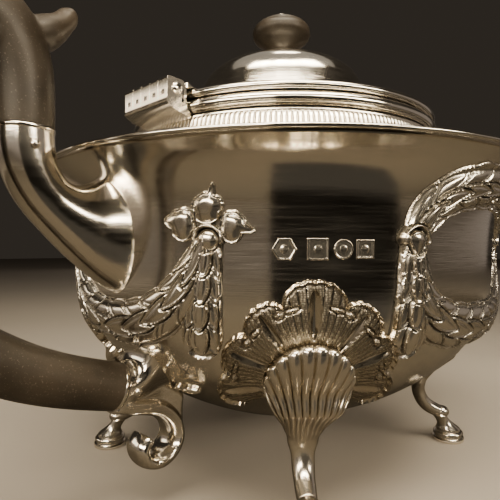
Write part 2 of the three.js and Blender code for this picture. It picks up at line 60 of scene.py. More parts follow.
# ---- Driving places, read from the frame ----
RIM_RADIUS = at_mm("rim_wire")[1][0]
RIM_LOW = at_mm("rim_wire")[0][2]
RIM_TOP = at_mm("rim_wire")[1][2]
BOWL_BOTTOM = at_mm("bowl")[0][2]
LID_RADIUS = at_mm("lid_edge_moulding")[1][0]
LID_SEAT = at_mm("lid_edge_moulding")[0][2]
DOME_TOP = at_mm("lid_cover")[1][2]
KNOB_LOW = at_mm("finial_knob")[0][2]
HINGE = np.array(frame["joints"][0]["pos_m"]) / MM
FOOT_ANGLES = {"front_left": -135, "front_right": -45, "back_right": 45, "back_left": 135}
GARLAND_SPAN = 25.35  # degrees from a garland's middle to its ends
GARLAND_TIE = 65.0  # height of the ring that each garland hangs from


# ---- Curves ----
def spline(points, count):
    """Points along a smooth curve through the given ones."""
    p = np.array(points, float)
    t = np.linspace(0, len(p) - 1, count)
    i = np.minimum(t.astype(int), len(p) - 2)
    f = (t - i)[:, None]
    a, b, c, d = p[np.maximum(i - 1, 0)], p[i], p[i + 1], p[np.minimum(i + 2, len(p) - 1)]
    return 0.5 * (2 * b + (c - a) * f + (2 * a - 5 * b + 4 * c - d) * f**2 + (3 * b - a - 3 * c + d) * f**3)


def eased(points, count, passes=60):
    """A spline whose curvature is evened out, so that a mirror surface has no kinks."""
    line = spline(points, count)
    for _ in range(passes):
        line[1:-1] = 0.25 * line[:-2] + 0.5 * line[1:-1] + 0.25 * line[2:]
    return line


def arc(x, z, radius, start, end, count=8):
    """Points on an arc, angles in degrees."""
    angle = np.radians(np.linspace(start, end, count))
    return [(x + radius * math.cos(a), z + radius * math.sin(a)) for a in angle]


def stations(t, *pairs):
    """A value that passes smoothly through (t, value) pairs."""
    x, y = np.array(pairs, float).T
    t = np.clip(t, x[0], x[-1])
    i = np.clip(np.searchsorted(x, t, side="right") - 1, 0, len(x) - 2)
    f = (t - x[i]) / (x[i + 1] - x[i])
    return y[i] + (y[i + 1] - y[i]) * f * f * (3 - 2 * f)


def smooth(x, low, high):
    """0 below low, 1 above high and smooth between."""
    f = np.clip((x - low) / (high - low), 0, 1)
    return f * f * (3 - 2 * f)


def ridge(x, width):
    """A soft ridge, 1 at x = 0."""
    return np.exp(-((x / width) ** 2))


def dome(near):
    """A round dome: 1 in the middle, where near is 0, and 0 from near = 1 on."""
    return np.sqrt(np.clip(1 - near**2, 0, 1))


def full_turn(count):
    return np.linspace(0, 2 * math.pi, count, endpoint=False)


def direction(line):
    """The unit tangent at each point of a line."""
    along = np.gradient(line, axis=0)
    return along / np.linalg.norm(along, axis=1)[:, None]


# ---- The bowl's outside, which everything applied lies on ----
BOWL_CURVE = eased([
    (0, BOWL_BOTTOM), (11, 13.5), (21.5, 15.9), (34.8, 21.8), (44.6, 28.2), (51.2, 34.4), (55.7, 40.6),
    (58.1, 47), (58.8, 53), (59, 60), (59.4, 66), (60.2, 71), (61.7, 75), (64.4, 78.2), (68.4, 80.45),
], 1200, passes=900)
ALONG = direction(BOWL_CURVE)


def bowl_radius(z):
    return np.interp(z, BOWL_CURVE[:, 1], BOWL_CURVE[:, 0])


def on_bowl(angle, u, v, out):
    """Points beside the bowl: u round it and v up it from an angle in degrees, and out from its surface."""
    radius = bowl_radius(v)
    nx = np.interp(v, BOWL_CURVE[:, 1], ALONG[:, 1])
    nz = -np.interp(v, BOWL_CURVE[:, 1], ALONG[:, 0])
    turn = math.radians(angle) + u / radius
    r = radius + nx * out
    return np.stack([r * np.cos(turn), r * np.sin(turn), v + nz * out], -1)


# ---- Materials ----
FIRST_COLOUR, SECOND_COLOUR, MIXED = 6, 7, 2  # the sockets of a Mix node that mixes colours
WIPED_RADIUS = 0.055  # metres, about the bowl's radius: it makes an angle round the axis a length


class Nodes:
    """A short way to write a material's node tree."""

    def __init__(self, name):
        self.material = bpy.data.materials.new(name)
        self.material.use_nodes = True
        self.tree = self.material.node_tree
        self.tree.nodes.clear()
        self.shader = self.add("ShaderNodeBsdfPrincipled")
        self.link(self.shader, "BSDF", self.add("ShaderNodeOutputMaterial"), "Surface")

    def add(self, kind, **settings):
        node = self.tree.nodes.new(kind)
        for key, value in settings.items():
            setattr(node, key, value)
        return node

    def link(self, source, output, target, socket):
        self.tree.links.new(source.outputs[output], target.inputs[socket])

    def base(self, mixed):
        """The material's colour."""
        self.link(mixed, MIXED, self.shader, "Base Color")

    def setting(self, **values):
        """Plain numbers on the shader's own sockets, such as Coat_Weight=0.1."""
        for key, value in values.items():
            self.shader.inputs[key.replace("_", " ")].default_value = value

    def noise(self, scale, stretch=(1, 1, 1), detail=3.0, rough=0.5, place=None):
        node = self.add("ShaderNodeTexNoise")
        for key, value in (("Scale", scale), ("Detail", detail), ("Roughness", rough)):
            node.inputs[key].default_value = value
        shift = self.add("ShaderNodeMapping")
        shift.inputs["Scale"].default_value = stretch
        self.tree.links.new(place or self.add("ShaderNodeTexCoord").outputs["Object"], shift.inputs["Vector"])
        self.link(shift, "Vector", node, "Vector")
        return node

    def around(self):
        """Coordinates that run round the teapot's axis, for marks left by turning and wiping."""
        split = self.add("ShaderNodeSeparateXYZ")
        self.link(self.add("ShaderNodeTexCoord"), "Object", split, "Vector")
        angle = self.add("ShaderNodeMath", operation="ARCTAN2")
        self.link(split, "Y", angle, 0)
        self.link(split, "X", angle, 1)
        scaled = self.add("ShaderNodeMath", operation="MULTIPLY")
        scaled.inputs[1].default_value = WIPED_RADIUS
        self.link(angle, 0, scaled, 0)
        place = self.add("ShaderNodeCombineXYZ")
        self.link(scaled, 0, place, "X")
        self.link(split, "Z", place, "Y")
        return place.outputs["Vector"]

    def remap(self, source, output, low, high, to_low, to_high):
        node = self.add("ShaderNodeMapRange")
        for key, value in zip(("From Min", "From Max", "To Min", "To Max"), (low, high, to_low, to_high)):
            node.inputs[key].default_value = value
        self.link(source, output, node, "Value")
        return node

    def mix(self, factor, first, second):
        """The first colour blended into the second by a factor node. The first may be another mix."""
        node = self.add("ShaderNodeMix", data_type="RGBA")
        if isinstance(first, tuple):
            node.inputs[FIRST_COLOUR].default_value = (*first, 1)
        else:
            self.link(first, MIXED, node, FIRST_COLOUR)
        node.inputs[SECOND_COLOUR].default_value = (*second, 1)
        self.link(factor, 0, node, 0)
        return node

    def bump(self, source, output, strength, distance, normal=None):
        node = self.add("ShaderNodeBump")
        node.inputs["Strength"].default_value = strength
        node.inputs["Distance"].default_value = distance
        self.link(source, output, node, "Height")
        if normal:
            self.link(normal, "Normal", node, "Normal")
        return node


def silver(name, bright, dark, rough, scratches=1.0):
    """Polished silver: wiping scratches, faint handling marks, and tarnish with painted shade in the hollows.
    """
    m = Nodes(name)
    m.setting(Metallic=1)
    cloudy = m.noise(55, detail=4, rough=0.6)
    streaks = m.noise(1400, stretch=(0.06, 1, 1), detail=5, rough=0.7, place=m.around())
    fine = m.noise(5200, stretch=(0.03, 1, 1), detail=2, place=m.around())
    hollow = m.add("ShaderNodeAttribute", attribute_name="hollow")
    clouded = m.mix(m.remap(cloudy, "Fac", 0.45, 0.75, 0, 0.3), bright, dark)
    # Painted shade and tarnish: the hollows are darkened in colour towards near black.
    m.base(m.mix(m.remap(hollow, "Fac", 0.1, 0.9, 0, 0.9), clouded, (0.045, 0.036, 0.028)))
    total = m.add("ShaderNodeMath", operation="ADD")
    m.link(m.remap(streaks, "Fac", 0.4, 0.75, rough, rough + 0.09 * scratches), 0, total, 0)
    m.link(m.remap(hollow, "Fac", 0.0, 1.0, 0, 0.25), 0, total, 1)
    m.link(total, 0, m.shader, "Roughness")
    wavy = m.bump(cloudy, "Fac", 0.10, 0.0004)
    scored = m.bump(streaks, "Fac", 0.08 * scratches, 0.0002, wavy)
    m.link(m.bump(fine, "Fac", 0.04 * scratches, 0.0001, scored), "Normal", m.shader, "Normal")
    return m.material


def matted_silver():
    """Chased silver with a punched, grainy ground, and painted shade with tarnish in its hollows."""
    m = Nodes("matted_silver")
    m.setting(Metallic=1)
    dots = m.add("ShaderNodeTexVoronoi")
    dots.inputs["Scale"].default_value = 2400
    dots.inputs["Randomness"].default_value = 0.35
    m.link(m.add("ShaderNodeTexCoord"), "Object", dots, "Vector")
    cloudy = m.noise(150, detail=4)
    hollow = m.add("ShaderNodeAttribute", attribute_name="hollow")
    matt = m.add("ShaderNodeAttribute", attribute_name="matt")
    clouded = m.mix(m.remap(cloudy, "Fac", 0.4, 0.7, 0, 0.5), (0.72, 0.66, 0.56), (0.50, 0.44, 0.36))
    grain = m.add("ShaderNodeMath", operation="MULTIPLY")
    m.link(m.remap(dots, "Distance", 0.2, 0.55, 0, 0.7), 0, grain, 0)
    m.link(matt, "Fac", grain, 1)
    pitted = m.mix(grain, clouded, (0.13, 0.11, 0.088))
    # Painted shade and tarnish: the hollows are darkened in colour towards near black.
    m.base(m.mix(m.remap(hollow, "Fac", 0.1, 0.9, 0, 0.75), pitted, (0.04, 0.033, 0.026)))
    m.link(m.remap(matt, "Fac", 0, 1, 0.18, 0.38), 0, m.shader, "Roughness")
    bump = m.bump(grain, 0, 0.55, 0.00014)
    bump.invert = True
    m.link(bump, "Normal", m.shader, "Normal")
    return m.material


def black_wood():
    """Ebonised wood with fine grain, dust in its pores and a worn sheen."""
    m = Nodes("black_wood")
    grain = m.noise(900, stretch=(0.25, 1, 0.25), detail=6, rough=0.7)
    patches = m.noise(70, detail=3)
    specks = m.noise(2600, detail=2)
    worn = m.mix(m.remap(patches, "Fac", 0.35, 0.75, 0, 1), (0.022, 0.017, 0.012), (0.06, 0.047, 0.034))
    m.base(m.mix(m.remap(specks, "Fac", 0.63, 0.72, 0, 0.5), worn, (0.16, 0.14, 0.115)))
    m.link(m.remap(grain, "Fac", 0.3, 0.8, 0.34, 0.6), 0, m.shader, "Roughness")
    m.setting(Coat_Weight=0.08, Coat_Roughness=0.3)
    first = m.bump(grain, "Fac", 0.22, 0.0002)
    m.link(m.bump(specks, "Fac", 0.2, 0.0001, first), "Normal", m.shader, "Normal")
    return m.material


def mottled(name, first, second, scale, detail, rough):
    """A plain dull surface that varies between two colours, for the floor and the cards."""
    m = Nodes(name)
    m.base(m.mix(m.remap(m.noise(scale, detail=detail), "Fac", 0.3, 0.7, 0, 1), first, second))
    m.setting(Roughness=rough)
    return m.material


SILVER = silver("polished_silver", (0.83, 0.79, 0.72), (0.72, 0.67, 0.59), 0.12)
CAST = silver("cast_silver", (0.80, 0.755, 0.68), (0.66, 0.61, 0.53), 0.2, scratches=0.5)
MATTED = matted_silver()
EBONY = black_wood()


# ---- Meshes ----
def placed(name, data):
    """A new object in the scene."""
    obj = bpy.data.objects.new(name, data)
    bpy.context.scene.collection.objects.link(obj)
    return obj


def mesh_of(name, points, faces, unit=1):
    mesh = bpy.data.meshes.new(name)
    mesh.from_pydata((np.asarray(points) * unit).tolist(), [], faces)
    return mesh


def piece(name, points, faces, material, body, *nodes, crease=40, **attributes):
    """A mesh object from points in millimetres, standing for CAD nodes and riding on a body."""
    mesh = mesh_of(name, points, faces, MM)
    mesh.validate()
    for key, values in attributes.items():
        layer = mesh.attributes.new(key, "FLOAT", "POINT")
        layer.data.foreach_set("value", np.asarray(values, np.float32))
    mesh.polygons.foreach_set("use_smooth", np.ones(len(mesh.polygons), bool))
    mesh.set_sharp_from_angle(angle=math.radians(crease))
    mesh.materials.append(material)
    mesh.update()
    obj = placed(name, mesh)
    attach(obj, body)
    if nodes:
        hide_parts(*nodes)


def quads(rows, cols, wrap_rows=False, wrap_cols=True):
    """The faces of a grid of points."""
    i, j = np.meshgrid(np.arange(rows - (not wrap_rows)), np.arange(cols - (not wrap_cols)), indexing="ij")
    down, right = (i + 1) % rows, (j + 1) % cols
    return np.stack([i * cols + j, i * cols + right, down * cols + right, down * cols + j], -1).reshape(-1, 4)


def outward_grid(points, faces):
    """A closed grid's faces, turned so that they look outwards."""
    p = points[faces]
    total = np.einsum("ij,ij->i", p[:, 0], np.cross(p[:, 1], p[:, 2]) + np.cross(p[:, 2], p[:, 3])).sum()
    return faces if total > 0 else faces[:, ::-1]


def turned(profile, segments=SEGMENTS):
    """Points and faces of a turned piece. Its closed outline may start and end on the axis."""
    p = np.array(profile, float)
    angle = full_turn(segments)
    poles = p[0][0] < 1e-6 and p[-1][0] < 1e-6
    rows = p[1:-1] if poles else (p[:-1] if np.allclose(p[0], p[-1]) else p)
    z = np.repeat(rows[:, 1:], segments, 1)
    points = np.stack([rows[:, :1] * np.cos(angle), rows[:, :1] * np.sin(angle), z], -1).reshape(-1, 3)
    faces = outward_grid(points, quads(len(rows), segments, wrap_rows=not poles))
    if not poles:
        return points, faces.tolist()
    ends = [[0, 0, p[0][1]], [0, 0, p[-1][1]]]
    return np.vstack([points, ends]), faces.tolist() + caps(len(rows), segments, p[-1][1] < p[0][1])


def caps(rows, cols, flipped):
    """The triangles that close a grid's first and last rows. The two middle points follow the grid's."""
    first, end = rows * cols, (rows - 1) * cols
    faces = [(first, (k + 1) % cols, k) for k in range(cols)]
    faces += [(first + 1, end + k, end + (k + 1) % cols) for k in range(cols)]
    return [face[::-1] for face in faces] if flipped else faces


def lofted(rings):
    """Points and faces of a solid through closed rings, its ends closed by triangles to their middles."""
    rows, cols = rings.shape[:2]
    points = rings.reshape(-1, 3)
    plain = quads(rows, cols)
    faces = outward_grid(points, plain)
    flipped = (faces[0] != plain[0]).any()
    points = np.vstack([points, rings[0].mean(0), rings[-1].mean(0)])
    return points, faces.tolist() + caps(rows, cols, flipped)


def joined(*solids):
    """Several solids as one."""
    points, faces, base = [], [], 0
    for p, f in solids:
        points.append(p)
        faces += [tuple(int(i) + base for i in face) for face in f]
        base += len(p)
    return np.vstack(points), faces


def peg(x, z, sections, sides):
    """A solid with round sections along Y, each given as its place and radius."""
    angle = full_turn(sides)
    return lofted(np.array([
        np.stack([x + radius * np.cos(angle), np.full(sides, y), z + radius * np.sin(angle)], -1)
        for y, radius in sections]))


def turn_about_z(points, degrees):
    a = math.radians(degrees)
    return points @ np.array([[math.cos(a), math.sin(a), 0], [-math.sin(a), math.cos(a), 0], [0, 0, 1]])


def plane_sweep(path, in_plane, across, sides=48):
    """Rings round a path in the XZ plane, with half widths in the plane and across it."""
    angle = full_turn(sides)
    rings = []
    for p, t, half, half_y in zip(path, direction(path), in_plane, across):
        inward = np.cos(angle) * half
        rings.append(np.stack([p[0] - t[1] * inward, np.sin(angle) * half_y, p[1] + t[0] * inward], -1))
    return np.array(rings)


def remeshed(solids, voxel, passes):
    """Solids melted into one smooth casting. The voxel's size is in millimetres."""
    work = placed("work", mesh_of("work", *joined(*solids), MM))
    melt = work.modifiers.new("remesh", "REMESH")
    melt.mode = "VOXEL"
    melt.voxel_size = voxel * MM
    ease = work.modifiers.new("ease", "SMOOTH")
    ease.factor = 0.6
    ease.iterations = passes
    return baked(work)


def fused(*solids):
    """Solids made one, with nothing inside them."""
    work, *others = [placed("work", mesh_of("work", *solid, MM)) for solid in solids]
    for other in others:
        fuse = work.modifiers.new("fuse", "BOOLEAN")
        fuse.operation = "UNION"
        fuse.solver = "EXACT"
        fuse.object = other
    result = baked(work)
    for other in others:
        bpy.data.objects.remove(other)
    return result


def baked(work):
    """A work object's points in millimetres and its faces, after its modifiers. The object is removed."""
    bpy.context.view_layer.update()
    done = bpy.data.meshes.new_from_object(work.evaluated_get(bpy.context.evaluated_depsgraph_get()))
    points = np.empty(len(done.vertices) * 3)
    done.vertices.foreach_get("co", points)
    faces = [tuple(p.vertices) for p in done.polygons]
    bpy.data.objects.remove(work)
    bpy.data.meshes.remove(done)
    return points.reshape(-1, 3) / MM, faces


def prism(outline, y0, y1, bevel):
    """A bar along Y with the given outline (x, z), its ends slightly eased."""
    outline = np.array(outline, float)
    middle = outline.mean(0)
    away = outline - middle
    size = np.linalg.norm(away, axis=1)[:, None]
    rings = []
    for y, inset in ((y0, bevel), (y0 + bevel, 0), (y1 - bevel, 0), (y1, bevel)):
        ring = middle + away * (1 - inset / np.maximum(size, 1e-6))
        rings.append(np.stack([ring[:, 0], np.full(len(ring), y), ring[:, 1]], -1))
    return lofted(np.array(rings))


BLANK = -0.6  # a relief's height where there is no ornament
SKIRT = -0.3  # a relief's edge runs down to here, under the bowl's surface
BACK = -0.55  # a relief's flat back, inside the bowl's wall


def relief(name, angle, u, v, step, height, material, *nodes):
    """Ornament on the bowl: a closed piece whose face stands out by height(U, V)."""
    U, V = np.meshgrid(*(np.arange(low, high + step / 2, step) for low, high in (u, v)), indexing="xy")
    fields = height(U, V)
    H = np.maximum(fields["height"], SKIRT)
    shown = H > SKIRT + 0.05
    keep = shown[:-1, :-1] | shown[1:, :-1] | shown[:-1, 1:] | shown[1:, 1:]
    rows, cols = H.shape
    count = rows * cols
    index = np.arange(count).reshape(rows, cols)
    cell = np.stack([index[:-1, :-1], index[:-1, 1:], index[1:, 1:], index[1:, :-1]], -1)
    walls = []
    pad = np.pad(keep, 1)
    for (down, right), a, b in (((0, 1), 0, 1), ((1, 2), 1, 2), ((2, 1), 2, 3), ((1, 0), 3, 0)):
        edge = cell[keep & ~pad[down:down + rows - 1, right:right + cols - 1]]
        walls.append(np.stack([edge[:, b], edge[:, a], edge[:, a] + count, edge[:, b] + count], -1))
    faces = np.vstack([cell[keep], cell[keep][:, ::-1] + count, *walls])
    used = np.unique(faces)
    renumber = np.full(2 * count, -1)
    renumber[used] = np.arange(len(used))
    sides = [on_bowl(angle, U, V, out).reshape(-1, 3) for out in (H, np.full_like(H, BACK))]
    # The painted shade and tarnish in the hollows, and the matting, go onto the mesh as attributes.
    extra = {key: np.concatenate([fields[key].ravel(), np.zeros(count)])[used]
             for key in ("hollow", "matt") if key in fields}
    piece(name, np.vstack(sides)[used], renumber[faces].tolist(), material, "pot", *nodes, crease=85, **extra)


def blurred(field, cells):
    """A field softened over about that many cells."""
    out = field.copy()
    for _ in range(cells):
        for axis in (0, 1):
            out = 0.25 * np.roll(out, 1, axis) + 0.5 * out + 0.25 * np.roll(out, -1, axis)
    return out


def hollows(height, cells, depth):
    """Where a height field lies below its surroundings, from 0 to 1: the places that polish doesn't reach and
    where shade falls, for painted shade and tarnish.
    """
    shown = np.maximum(height, 0)
    return np.clip((blurred(shown, cells) - shown) / depth, 0, 1)


# ---- Bowl, rim and neck ----
WALL = 1.1  # the bowl's thickness
SHOULDER_WALL = 0.8
LID_WALL = 0.9


def offset_line(line, distance):
    """A line moved to its left by a distance, but never past the axis."""
    along = direction(line)
    moved = line + np.stack([-along[:, 1], along[:, 0]], -1) * distance
    moved[:, 0] = np.maximum(moved[:, 0], 0)
    return moved


def sheet(top, wall):
    """The closed outline of a turned sheet, from its top line and its thickness."""
    return np.vstack([top, offset_line(top, wall)[::-1], top[:1]])


def make_bowl():
    outside = BOWL_CURVE[::6].copy()
    outside[-1] = BOWL_CURVE[-1]
    outside[0, 0] = 0
    inside = offset_line(BOWL_CURVE, WALL)[::12][::-1]
    inside[-1] = (0, inside[-1, 1])
    lip = [tuple((outside[-1] + inside[0]) / 2 + (0.25, 0.12))]
    profile = [*map(tuple, outside), *lip, *map(tuple, inside)]
    piece("bowl_body", *turned(profile), SILVER, "pot", "bowl")


def make_rim():
    inner = RIM_RADIUS - 1.7
    middle = (RIM_LOW + RIM_TOP) / 2
    half = (RIM_TOP - RIM_LOW) / 2
    bead = arc(RIM_RADIUS - half, middle, half, -90, 90, 9)
    section = [(inner, RIM_LOW), *bead, (inner, RIM_TOP), (inner, RIM_LOW)]
    piece("rim_bead", *turned(section), SILVER, "pot", "rim_wire")


def make_shoulder():
    top = eased([(68.6, 81.6), (66, 81.45), (60, 80.9), (54, 81.3), (50.2, 82.8), (47.9, 85.4)], 70)
    piece("shoulder", *turned(sheet(top, SHOULDER_WALL)), SILVER, "pot", "shoulder_plate")


REEDS = 236
POINTS_PER_REED = 8


def make_gallery():
    """A band of fine upright reeds between two plain fillets, narrower at the top."""
    around = REEDS * POINTS_PER_REED
    angle = full_turn(around)
    reed = np.abs(np.cos(angle * REEDS / 2)) ** 0.7
    # Radius, height, and 1 where the reeds are.
    outline = [(46.9, 84.6, 0), (46.9, 85.3, 0), (46.6, 85.6, 0), (46.45, 85.8, 1), (46.2, 86.4, 1),
               (45.4, 88.4, 1), (44.8, 90.2, 1), (44.45, 91.2, 1), (44.4, 91.5, 0), (44.5, 91.8, 0),
               (44.4, 92.3, 0), (43.3, 92.3, 0), (43.3, 89, 0), (44.6, 84.6, 0)]
    rings = []
    for radius, z, fluted in outline:
        r = radius + fluted * (0.34 * reed - 0.1)
        rings.append(np.stack([r * np.cos(angle), r * np.sin(angle), np.full(around, z)], -1))
    rings = np.array(rings)
    points = rings.reshape(-1, 3)
    faces = outward_grid(points, quads(len(rings), around, wrap_rows=True))
    # Painted shade and tarnish: darker colour in the grooves between the reeds.
    hollow = np.concatenate([f * (1 - reed) ** 2 * 0.5 for _, _, f in outline])
    piece("reeded_neck", points, faces.tolist(), CAST, "pot", "neck_gallery", hollow=hollow)


def make_collar():
    profile = [(42.6, 92.5), (44.4, 92.5), (44.9, 92.7), *arc(43.75, 94.4, 1.65, -58, 72, 14), (43.9, 96.02),
               (42.6, 96.02), (42.6, 92.5)]
    piece("collar", *turned(profile), SILVER, "pot", "collar_moulding")


# ---- Lid ----
def make_lid():
    top = eased([(41.3, 98.4), (37, 98.5), (33, 98.9), (29.2, 100.3), (26.6, 103.2), (25.5, 107),
                 (24.6, 110.8), (22.2, 114.2), (17.0, 117.2), (9.4, 118.9), (1.5, DOME_TOP)], 160, 16)
    piece("lid_dome", *turned(sheet(top, LID_WALL)), SILVER, "lid", "lid_cover")
    edge = [(-3.7, 0.12), (-1.3, 0.12), *arc(-1.05, 1.17, 1.03, -84, 84, 16), (-1.6, 2.24), (-2.4, 2.3),
            (-3.7, 2.33), (-3.7, 0.12)]
    edge = [(LID_RADIUS + x, LID_SEAT + z) for x, z in edge]
    piece("lid_edge", *turned(edge), SILVER, "lid", "lid_edge_moulding")
    flange = [(41.2, 91.5), (42, 91.7), (42, 95.9), (41.2, 95.9), (41.2, 91.5)]
    piece("lid_flange", *turned(flange), SILVER, "lid", "lid_bezel")


def make_finial():
    low, high = at_mm("finial_collet")
    z = low[2]
    collet = [(1.5, z), (4.9, z), *arc(4.75, z + 0.45, 0.45, -70, 80, 6), (4.1, z + 1.05), (3.8, z + 1.35),
              *arc(3.9, z + 1.7, 0.3, -80, 80, 5), (1.5, high[2]), (1.5, z)]
    piece("finial_cup", *turned(collet, 96), SILVER, "lid", "finial_collet")
    k = KNOB_LOW
    side = eased([(3.8, k), (3.6, k + 1.4), (5.6, k + 3.2), (8.3, k + 5), (9.15, k + 7), (8.4, k + 9.2),
                  (5.8, k + 10.9), (3.4, k + 11.5), (1.5, k + 11.7)], 60, passes=12)
    piece("finial_button", *turned([(1.5, k), *map(tuple, side), (1.5, k)], 96), EBONY, "lid", "finial_knob")
    low, high = at_mm("finial_screw")
    head = high[2] - 1.8
    screw = [(0, low[2]), (1.1, low[2]), (1.2, low[2] + 0.2), (1.2, head), (2.5, head),
             *arc(0, head - 1.6, 3.3, 38, 88, 8), (0, high[2])]
    piece("finial_stud", *turned(screw, 64), SILVER, "lid", "finial_screw")
    low, high = at_mm("finial_nut")
    nut = [(1.5, low[2]), (3.8, low[2]), (4.3, low[2] + 0.5), (4.3, high[2] - 0.3), (4.1, high[2]),
           (1.5, high[2]), (1.5, low[2])]
    piece("finial_round_nut", *turned(nut, 48), SILVER, "lid", "finial_nut")


# ---- Hinge ----
KNUCKLE = 3.42  # each knuckle's length along the pin
HALF_WIDTH = 2.5 * KNUCKLE
KNUCKLE_HALF_X, KNUCKLE_HALF_Z, KNUCKLE_CORNER = 2.45, 2.8, 0.7
KNUCKLE_SWING = 3.78  # the reach of a knuckle's corner as the lid turns
KNUCKLE_GAP = 0.012
RECESS = 0.32  # how deep the small square in each knuckle's face is
STRAP_START = 3.15  # clear of the knuckles' corners as the lid turns
# A pin end's sections: how far each lies past the knuckles, and its radius.
PIN_END = ((-0.05, 1.3), (0.15, 1.32), (0.37, 1.2), (0.55, 0.9), (0.65, 0.5), (0.68, 0.15))


def by_hinge(*outline):
    """An outline in the XZ plane, from points given from the hinge's axis."""
    return [(HINGE[0] + x, HINGE[2] + z) for x, z in outline]


def slot_ends(slot):
    return (slot - 0.5) * KNUCKLE, (slot + 0.5) * KNUCKLE


def knuckle(slot):
    """One knuckle: an eased block with a small square recess low on its outer face."""
    y0, y1 = slot_ends(slot)
    y0, y1, ease = y0 + KNUCKLE_GAP, y1 - KNUCKLE_GAP, 0.02
    middle = (y0 + y1) / 2
    rings = []
    for y, inset, sunk in (
        (y0, ease, 0), (y0 + ease, 0, 0), (middle - 0.72, 0, 0), (middle - 0.62, 0, RECESS),
        (middle + 0.62, 0, RECESS), (middle + 0.72, 0, 0), (y1 - ease, 0, 0), (y1, ease, 0),
    ):
        wide, tall = KNUCKLE_HALF_X - inset, KNUCKLE_HALF_Z - inset
        x, z = wide - KNUCKLE_CORNER, tall - KNUCKLE_CORNER
        outline = [*arc(x, -z, KNUCKLE_CORNER, -90, 0, 6), *arc(x, z, KNUCKLE_CORNER, 0, 90, 6),
                   *arc(-x, z, KNUCKLE_CORNER, 90, 180, 6),
                   (-wide, -0.1), (sunk - wide, -0.2), (sunk - wide, -1.05), (-wide, -1.15),
                   *arc(-x, -z, KNUCKLE_CORNER, 180, 270, 6)]
        rings.append([(px, y, pz) for px, pz in by_hinge(*outline)])
    return lofted(np.array(rings))


def make_hinge():
    """A box of five knuckles with a row of small recesses along its face, and a humped strap onto the lid."""
    foot = [(-2.65, -2.75), (-2.5, -3.1), (-1.9, -3.55), (-0.6, -4.3), (2.1, -4.95), (3.9, -5.6), (4.4, -5.6),
            (4.4, -4.6), (3.2, -3.2)]
    web = [(3.05, -1.6), (3.1, -0.6), (3.05, 0.9), (2.8, 1.2), (2.2, 1.3), (2.2, -2.2)]
    hump = [(0.6, 1.9), (0.2, 2.75), (1.2, 3.0), (2.4, 2.95), (3.6, 2.6), (4.8, 2.15), (6.2, 1.85),
            (7.6, 1.8), (7.6, 1.62), (5.2, 1.5), (3.3, 1.4), (2.0, 1.4)]
    block, leaf = [], []
    for slot in range(-2, 3):
        y0, y1 = slot_ends(slot)
        if slot % 2:
            block.append(prism(by_hinge(*foot, *arc(0, 0, KNUCKLE_SWING, -44, -133, 12)), y0, y1, 0))
            leaf += [knuckle(slot), prism(by_hinge(*hump), y0 + KNUCKLE_GAP, y1 - KNUCKLE_GAP, 0.1)]
        else:
            block += [knuckle(slot), prism(by_hinge((-2.3, -2.2), *foot, *web), y0, y1, 0)]
    strap = [(STRAP_START, 1.4), (STRAP_START, 2.6), *hump[4:11]]
    leaf.append(prism(by_hinge(*strap), -HALF_WIDTH, HALF_WIDTH, 0.3))
    for name, solids, body, node in (("hinge_block", block, "pot", "hinge_bracket"),
                                     ("hinge_strap", leaf, "lid", "lid_hinge_leaf")):
        points, faces = joined(*solids)
        piece(name, points, faces, CAST, body, node, hollow=recess_shade(points), crease=30)
    ends = [peg(HINGE[0] + 0.3, HINGE[2] + 0.5,
                [(side * (HALF_WIDTH + out), radius) for out, radius in PIN_END], 40) for side in (-1, 1)]
    piece("hinge_pin_ends", *joined(*ends), SILVER, "pot", "hinge_pin")


def recess_shade(points):
    """Painted shade and tarnish at the bottom of the knuckles' recesses."""
    x, z = points[:, 0] - HINGE[0], points[:, 2] - HINGE[2]
    return np.where((x > -2.2) & (x < -2.05) & (z < 0) & (z > -1.2), 0.7, 0.0)


# ---- Handle ----
GRIP_PATH = [(-57.8, 30.3), (-71, 34.5), (-82.2, 39.8), (-93.5, 48), (-102.6, 60), (-106.4, 74), (-105, 88),
             (-99.2, 100), (-90.5, 105.8), (-82.5, 103), (-78.6, 95), (-78, 83.6)]


def make_grip():
    path = eased(GRIP_PATH, 260, passes=40)
    t = np.linspace(0, 1, len(path))
    thick = stations(t, (0, 5.3), (0.3, 5.65), (0.62, 5.75), (0.85, 6.1), (1, 5.55))
    body = lofted(plane_sweep(path, thick, thick * 0.98))
    horn_path = spline([(-86, 99), (-78.5, 101), (-72.2, 105), (-68.4, 109.6)], 60)
    t = np.linspace(0, 1, len(horn_path))
    horn_width = stations(t, (0, 5.2), (0.5, 4.4), (0.85, 2.8), (1, 1.6))
    horn = lofted(plane_sweep(horn_path, horn_width * 0.8, horn_width))
    points, faces = remeshed([body, horn], 0.34, 8)
    piece("handle", points, faces, EBONY, "pot", "handle_grip", crease=80)


def between(first, second, across, count, sides=72):
    """Rings whose edges follow two curves in the XZ plane, so that a tight bend doesn't pinch."""
    a, b = eased(first, count, 8), eased(second, count, 8)
    t = np.linspace(0, 1, count)
    half_y = stations(t, *across)
    turn = full_turn(sides)
    middle, reach = (a + b) / 2, (b - a) / 2
    x = middle[:, :1] + reach[:, :1] * np.cos(turn)
    z = middle[:, 1:] + reach[:, 1:] * np.cos(turn)
    return np.stack([x, half_y[:, None] * np.sin(turn), z], -1)


def rooted(rings, angle, footprint, start, depth=-0.35):
    """Rings whose last part spreads onto a footprint on the bowl: its middle, half height and half width."""
    rows, sides = rings.shape[:2]
    share = smooth(np.linspace(0, 1, rows), start, 1)[:, None, None]
    turn = full_turn(sides)
    middle, half_high, half_wide = footprint
    side = -1 if angle == 180 else 1
    u, v = side * half_wide * np.sin(turn), middle + half_high * np.cos(turn)
    foot = on_bowl(angle, u, v, np.full(sides, depth))
    return rings * (1 - share) + foot[None] * share


